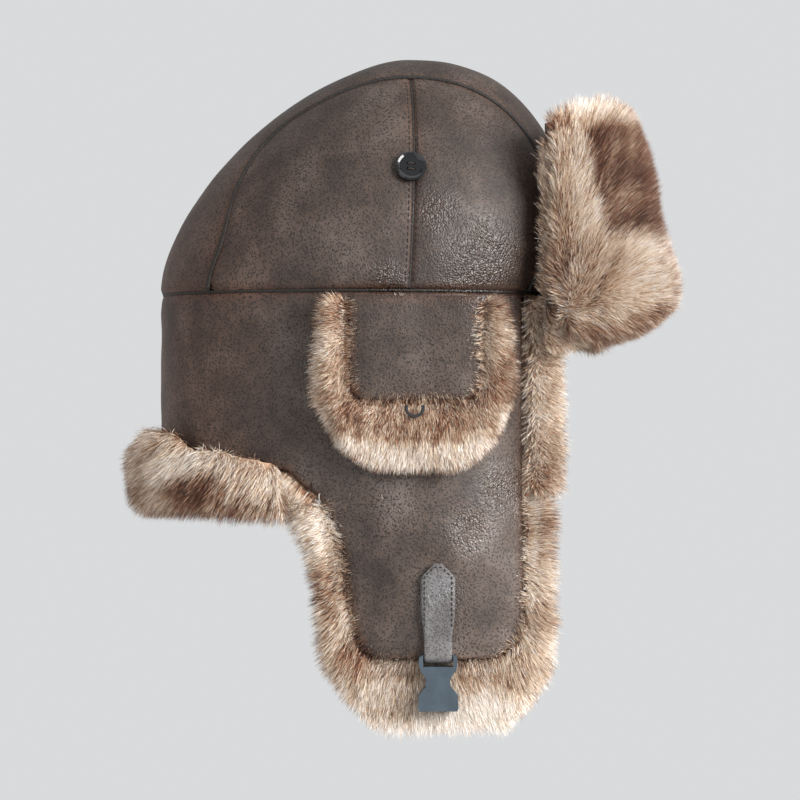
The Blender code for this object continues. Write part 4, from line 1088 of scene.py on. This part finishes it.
def cover_fur(side, budget):
    """Fur of an ear cover: a rolled edge round its leather."""
    sign = SIGN[side]
    body = f"ear_cover_{side}"

    def tuck(points):
        y, z = points[:, 1], points[:, 2]
        covered = (cover_out(y, z) < 0.0005) & (z > COVER_BOTTOM_Z)
        press(points, sign, covered, -cover_points(y, z, 0.0104)[..., 0] - 0.0012)

    def density(points, turned):
        z, out, outer = points[:, 2], cover_out(points[:, 1], points[:, 2]), turned[:, 0] * sign
        under = (out < -0.001) & (z > -0.0600) & (outer > 0.2)
        hinge = (out < 0.001) & (z > -0.0095)
        return np.where(under | hinge, 0.0, np.where(outer < -0.4, 0.12, 1.0))

    bed, normals = fur_bed(f"ear_cover_pelt_{side}", f"ear_cover_fur_{side}", *COVER_BED, body, tuck)
    rng = np.random.default_rng(SEED + 20 + sign)
    places, turned = scatter(bed, normals, budget, density, rng)
    y, z = places[:, 1] - COVER_MIDDLE_Y, places[:, 2]
    out = cover_out(places[:, 1], z)

    away = places - (0.0, COVER_MIDDLE_Y, -0.030)
    away[:, 0] = sign * 0.008
    away = unit(away)
    comb = away + (0, 0, -0.45)
    over = (out < 0.0040) & (turned[:, 0] * sign > 0.2) & (rng.random(budget) < 0.45)
    comb[over] = (sign, 0, 0) - away[over]

    low = smooth((-0.036 - z) / 0.02)
    pale = smooth((out - mix(0.0105, 0.0150, low)) / 0.005) * mix(0.45, 1.00, low)
    uneven = 0.95 + 0.50 * noise_field(places, 150.0, 77)
    ring = np.exp(-((out - mix(0.0065, 0.0080, low)) / mix(0.0042, 0.0060, low)) ** 2)
    bias = -0.36 + pale * uneven - ring * mix(0.25, 0.85, low) - 0.60 * patches(places, COVER_MARKS)
    corner = np.clip(np.abs(y) / 0.034, 0, 1) ** 2 * smooth((-0.055 - z) / 0.012)
    length = COVER_FUR_LENGTH * (1 - 0.24 * corner)
    grow_fur(f"ear_cover_fur_strands_{side}", places, turned, comb, body, length, 0.52, SEED + 30 + sign,
             bias, dark_tips(turned, 0.26))
    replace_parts(bed, f"ear_cover_fur_{side}")


def roll_fur(budget):
    """The fur edge turned out below the back of the band."""
    def tuck(points):
        side, y, z = np.sign(points[:, 0]), points[:, 1].copy(), points[:, 2]
        end = smooth((0.080 - y) / 0.042)
        tip = smooth((0.052 - y) / 0.013)
        rear = smooth((y - 0.086) / 0.016)
        points[:, 2] = -0.100 + (0.0100 * rear - 0.0030) * smooth((z + 0.114) / 0.014) \
            + (z + 0.100) * np.where(z < -0.100, mix(0.90, 0.74, end), 1.0) - 0.0020 * tip
        points[:, 1] = y - 0.0125 * tip
        points[:, 0] -= side * 0.0050 * tip

    bed, normals = fur_bed("neck_pelt", "neck_fur_roll", *ROLL_BED, "shell", tuck)
    rng = np.random.default_rng(SEED + 40)
    places, turned = scatter(bed, normals, budget, anywhere, rng)
    comb = unit(places * (1, 1, 0)) * 0.55 + (0, 0, -0.75)
    up = smooth((turned[:, 2] - 0.1) / 0.6)
    z = places[:, 2]
    bias = -0.25 + 0.6 * smooth((z + 0.108) / 0.008) - 1.7 * patches(places, ROLL_MARKS) \
        - 0.9 * smooth((-0.120 - z) / 0.006)
    length, lean = FUR_LENGTH * (1 - 0.25 * up), 0.48 + 0.06 * up
    grow_fur("neck_fur_strands", places, turned, comb, "shell", length, lean, SEED + 41, bias,
             dark_tips(turned, 0.25))
    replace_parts(bed, "neck_fur_roll")


def neck_corner_fur(budget):
    """Hair under the leather's edge between the neck roll and each ear flap."""
    rng = np.random.default_rng(SEED + 45)
    share, drop = rng.random(budget), rng.random(budget)
    y = mix(0.046, 0.019, share)
    z = mix(-0.1005, -0.1125, smooth((0.038 - y) / 0.018)) - 0.010 * drop
    x = wall_half_width(y, z) - 0.0035 + 0.0020 * rng.random(budget)
    for side, sign in SIGN.items():
        places = np.stack([sign * x, y, z], axis=1)
        normals = unit(np.array([sign * 0.75, 0.50, -0.35]))
        comb = np.array([sign * 0.30, 0.45, -0.80])
        grow_fur(f"neck_corner_strands_{side}", places, normals, comb, "shell", SHORT_FUR, 0.5,
                 SEED + 46 + sign, -0.2)


def temple_fur(side, budget):
    """The fur edge along the front of the band."""
    sign = SIGN[side]
    bed, normals = fur_bed(f"temple_pelt_{side}", f"temple_fur_{side}", *TEMPLE_BED, "shell")
    rng = np.random.default_rng(SEED + 50 + sign)
    places, turned = scatter(bed, normals, budget, anywhere, rng)
    comb = turned * 0.2 + (sign * 0.25, -0.75, -0.75)
    comb[rng.random(budget) < 0.25] = (sign * 0.50, 0.60, -0.60)
    bias = 0.1 - 0.7 * smooth((-0.085 - places[:, 2]) / 0.02)
    grow_fur(f"temple_fur_strands_{side}", places, turned, comb, "shell", SHORT_FUR, 0.5,
             SEED + 51 + sign, bias)
    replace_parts(bed, f"temple_fur_{side}")


def band_fur(budget):
    """The fur inside the band: seen from below and through the ear openings."""
    middle = np.array([0.0, CROWN_WIDEST_Y])

    def tuck(points):
        flat = points[:, :2] - middle
        edge = outline_points(np.arctan2(flat[:, 1], flat[:, 0]), points[:, 2])[:, :2] - middle
        limit = np.linalg.norm(edge, axis=1) - LEATHER - 0.0018
        reach = np.maximum(np.linalg.norm(flat, axis=1), 1e-6)
        points[:, :2] = middle + flat * np.minimum(limit / reach, 1.0)[:, None]

    def density(points, turned):
        inside = (turned * unit(points * (1, 1, 0))).sum(axis=1) < -0.3
        across = turned[:, 0] * np.sign(points[:, 0])
        front = (turned[:, 1] < -0.35) & (across < 0.30) & (points[:, 2] < -0.024)
        return np.where(inside | (turned[:, 2] < -0.6) | front, 1.0, 0.0)

    bed, normals = fur_bed("band_pelt", "band_fur_lining", *BAND_BED, "shell", tuck)
    places, turned = scatter(bed, normals, budget, density, np.random.default_rng(SEED + 60))
    comb = turned * 0.3 + (0, 0, -1.0)
    grow_fur("band_fur_strands", places, turned, comb, "shell", SHORT_FUR, 0.62, SEED + 61)
    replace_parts(bed, "band_fur_lining")


def visor_fur(budget):
    """The visor's fur: hairs go up and out from its lower back corner, and forward along its lower edge."""
    def density(points, turned):
        wide, height = np.abs(points[:, 0]), points[:, 2]
        inward = (turned[:, 1] > 0.55) & (wide < 0.064) & (height > -0.02) & (height < 0.096)
        return np.where(inward, 0.05, 1.0)

    bed, normals = fur_bed("visor_pelt", "visor_fur", *VISOR_BED, "visor")
    places, turned = scatter(bed, normals, budget, density, np.random.default_rng(SEED + 70))
    y, z = places[:, 1], places[:, 2]
    away = places - (0.0, -0.124, -0.012)
    comb = unit(unit(away * (0.5, 0.9, 1.0)) + (0, 0, 0.15))
    low = smooth((-0.004 - z) / 0.022)[:, None]
    comb = comb * (1 - low) + low * (0, -0.85, -0.25) + turned * 0.1
    corner = smooth((y + 0.142) / 0.012) * smooth((z - 0.074) / 0.015)
    grow_fur("visor_fur_strands", places, turned, comb, "visor", FUR_LENGTH * (1 - 0.22 * corner), 0.52,
             SEED + 71, visor_bias(places, turned), dark_tips(turned, 0.24))
    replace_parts(bed, "visor_fur")


def visor_bias(points, turned):
    """Paler sides, a brown patch towards the front, a dark lower edge with painted shade on hairs that face
    down, and dark hair with painted shadow beside the crown.
    """
    y, z = points[:, 1], points[:, 2]
    height = smooth((z - 0.022) / 0.014) * smooth((0.094 - z) / 0.010)
    front = smooth((-0.1235 - 0.190 * (0.096 - z) - y) / 0.006)
    # Hairs that face down are darkened: painted shade underneath the visor
    under = smooth((-turned[:, 2] - 0.50) / 0.25) * smooth(-z / 0.01)
    low = smooth((-0.0125 - z) / 0.005)
    crease = np.exp(-((z - 0.092 + 0.25 * (y + 0.13)) / 0.004) ** 2) * smooth((y + 0.15) / 0.01)
    # Darker beside the crown: dark hair there, and painted shadow that the crown casts on the visor
    shadow_and_dark_hair_beside_crown = smooth((y + 0.124) / 0.004)
    return 0.56 - 2.40 * front * height - 1.3 * np.maximum(under, low) - 0.8 * crease \
        - 0.65 * patches(points, VISOR_MARKS) - 0.9 * shadow_and_dark_hair_beside_crown


def visor_skirt_fur(budget):
    """Fur over the visor's leather root and side edges, which are seen beside the crown and the temples."""
    def density(points, turned):
        wide, across = np.abs(points[:, 0]), turned[:, 0] * np.sign(points[:, 0])
        low = (wide > 0.022) & (points[:, 2] < 0.016) & (points[:, 1] > -0.134)
        facing = (across > 0.05) | (turned[:, 1] < -0.3)
        edge = (wide > 0.0560) & (across > -0.2) & (points[:, 2] < 0.078)
        return np.where(edge, 3.0, np.where(low & facing, 1.0, 0.0))

    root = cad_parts["visor_leather"]
    rng = np.random.default_rng(SEED + 75)
    places, turned = scatter(root, read_array(root.data.vertices, "normal"), budget, density, rng)
    side = np.sign(places[:, 0])
    edge = smooth((np.abs(places[:, 0]) - 0.054) / 0.006) * smooth((places[:, 2] + 0.012) / 0.012)
    down = np.stack([side * 0.50, np.full(budget, -0.50), np.full(budget, -0.55)], axis=1)
    back = np.stack([side * 0.75, 0.15 + 0.65 * rng.random(budget),
                     0.55 - 0.3 * rng.random(budget)], axis=1)
    outwards = np.stack([side, np.full(budget, 0.15), np.zeros(budget)], axis=1)
    comb = mix(down, back, edge[:, None])
    turned = unit(mix(turned, outwards, edge[:, None]))
    grow_fur("visor_skirt_strands", places, turned, comb, "visor", mix(0.0080, 0.0120, edge), 0.55,
             SEED + 76, -0.2 - 0.2 * edge)


# ---------------------------------------------------------------- scene

def camera_and_light():
    scene = bpy.context.scene
    camera = link_object("camera", bpy.data.cameras.new("camera"))
    camera.location = (-CAMERA_DISTANCE, CAMERA_Y, CAMERA_Z)
    camera.rotation_euler = (math.radians(90), 0.0, math.radians(-90))
    camera.data.sensor_width = 36.0
    camera.data.lens = 36.0 * CAMERA_DISTANCE / VIEW_HEIGHT
    camera.data.clip_start = 0.05
    camera.data.clip_end = 20.0
    scene.camera = camera

    for name, place, aim, size, power, colour in (
            ("key", (-1.25, -1.45, 0.55), (0, -0.03, -0.02), 1.0, 66.0, (1.0, 0.985, 0.965)),
            ("fill", (-1.60, 0.90, 0.10), (0, 0, -0.03), 1.6, 7.0, (0.96, 0.98, 1.0)),
            ("top", (-0.30, -0.40, 1.60), (0, 0, 0), 1.4, 5.0, (1.0, 1.0, 1.0))):
        lamp = link_object(name, bpy.data.lights.new(name, "AREA"))
        lamp.data.energy = power
        lamp.data.size = size
        lamp.data.color = colour
        lamp.location = place
        lamp.rotation_euler = (Vector(aim) - Vector(place)).to_track_quat("-Z", "Y").to_euler()

    scene.view_settings.view_transform = "Standard"
    world = bpy.data.worlds.new("studio")
    world.use_nodes = True
    feed(world.node_tree, world.node_tree.nodes["Background"],
         {"Color": (0.86, 0.87, 0.88, 1.0), "Strength": 0.81})
    scene.world = world


def backdrop():
    """A pale floor well below the hat."""
    made, tree, shader, _ = material("studio_floor", (0.86, 0.86, 0.87), 0.9)
    mottle = add_node(tree, "TexNoise", {"Scale": 3.0, "Detail": 2.0}).outputs["Fac"]
    tone = ramp(tree, mottle, (0.3, (0.85, 0.85, 0.86)), (0.7, (0.87, 0.87, 0.88)))
    feed(tree, shader, {"Base Color": tone})
    corners = [(-8, -8, -1.9), (8, -8, -1.9), (8, 8, -1.9), (-8, 8, -1.9)]
    new_piece("studio_floor", corners, [(0, 1, 2, 3)], None, made)


def paint_node(node, made):
    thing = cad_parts[node]
    thing.data.materials.clear()
    thing.data.materials.append(made)
    thing.data.shade_smooth()


def smooth_facets(node):
    """Shade a curved CAD piece as one smooth surface."""
    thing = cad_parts[node]
    for name in ("custom_normal", "sharp_edge"):
        held = thing.data.attributes.get(name)
        if held:
            thing.data.attributes.remove(held)
    weld = thing.modifiers.new("weld", "WELD")
    weld.merge_threshold = 0.00001


def round_edges(node):
    """Moulded plastic has small round edges."""
    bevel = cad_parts[node].modifiers.new("round_edges", "BEVEL")
    bevel.width = 0.0009
    bevel.segments = 3
    bevel.limit_method = "ANGLE"
    bevel.angle_limit = math.radians(35)
    bevel.harden_normals = True


camera_and_light()
backdrop()
crown_leather()
side_leather()
front_band_leather()
seam_cords()
cover_leather()
tab_leather("right")
tab_leather("left")
strap_joint()
button_threads()
for made, nodes in ((BROWN, ("visor_leather",)), (LINING, ("visor_stiffener", "crown_lining")),
                    (WADDING, ("crown_padding",)), (BLACK, ("button_right", "button_left")),
                    (WEBBING, ("chin_strap", "ear_cover_loop_right", "ear_cover_loop_left")),
                    (SLATE, ("buckle_socket", "buckle_plug", "plug_prong_front", "plug_prong_rear"))):
    for node in nodes:
        paint_node(node, made)
smooth_facets("crown_lining")
for node in ("buckle_socket", "buckle_plug", "plug_prong_front", "plug_prong_rear"):
    round_edges(node)
visor_fur(92000)
visor_skirt_fur(26000)
flap_fur("right", 66000)
flap_fur("left", 56000)
cover_fur("right", 36000)
cover_fur("left", 30000)
roll_fur(46000)
neck_corner_fur(3000)
temple_fur("right", 15000)
temple_fur("left", 12000)
band_fur(24000)
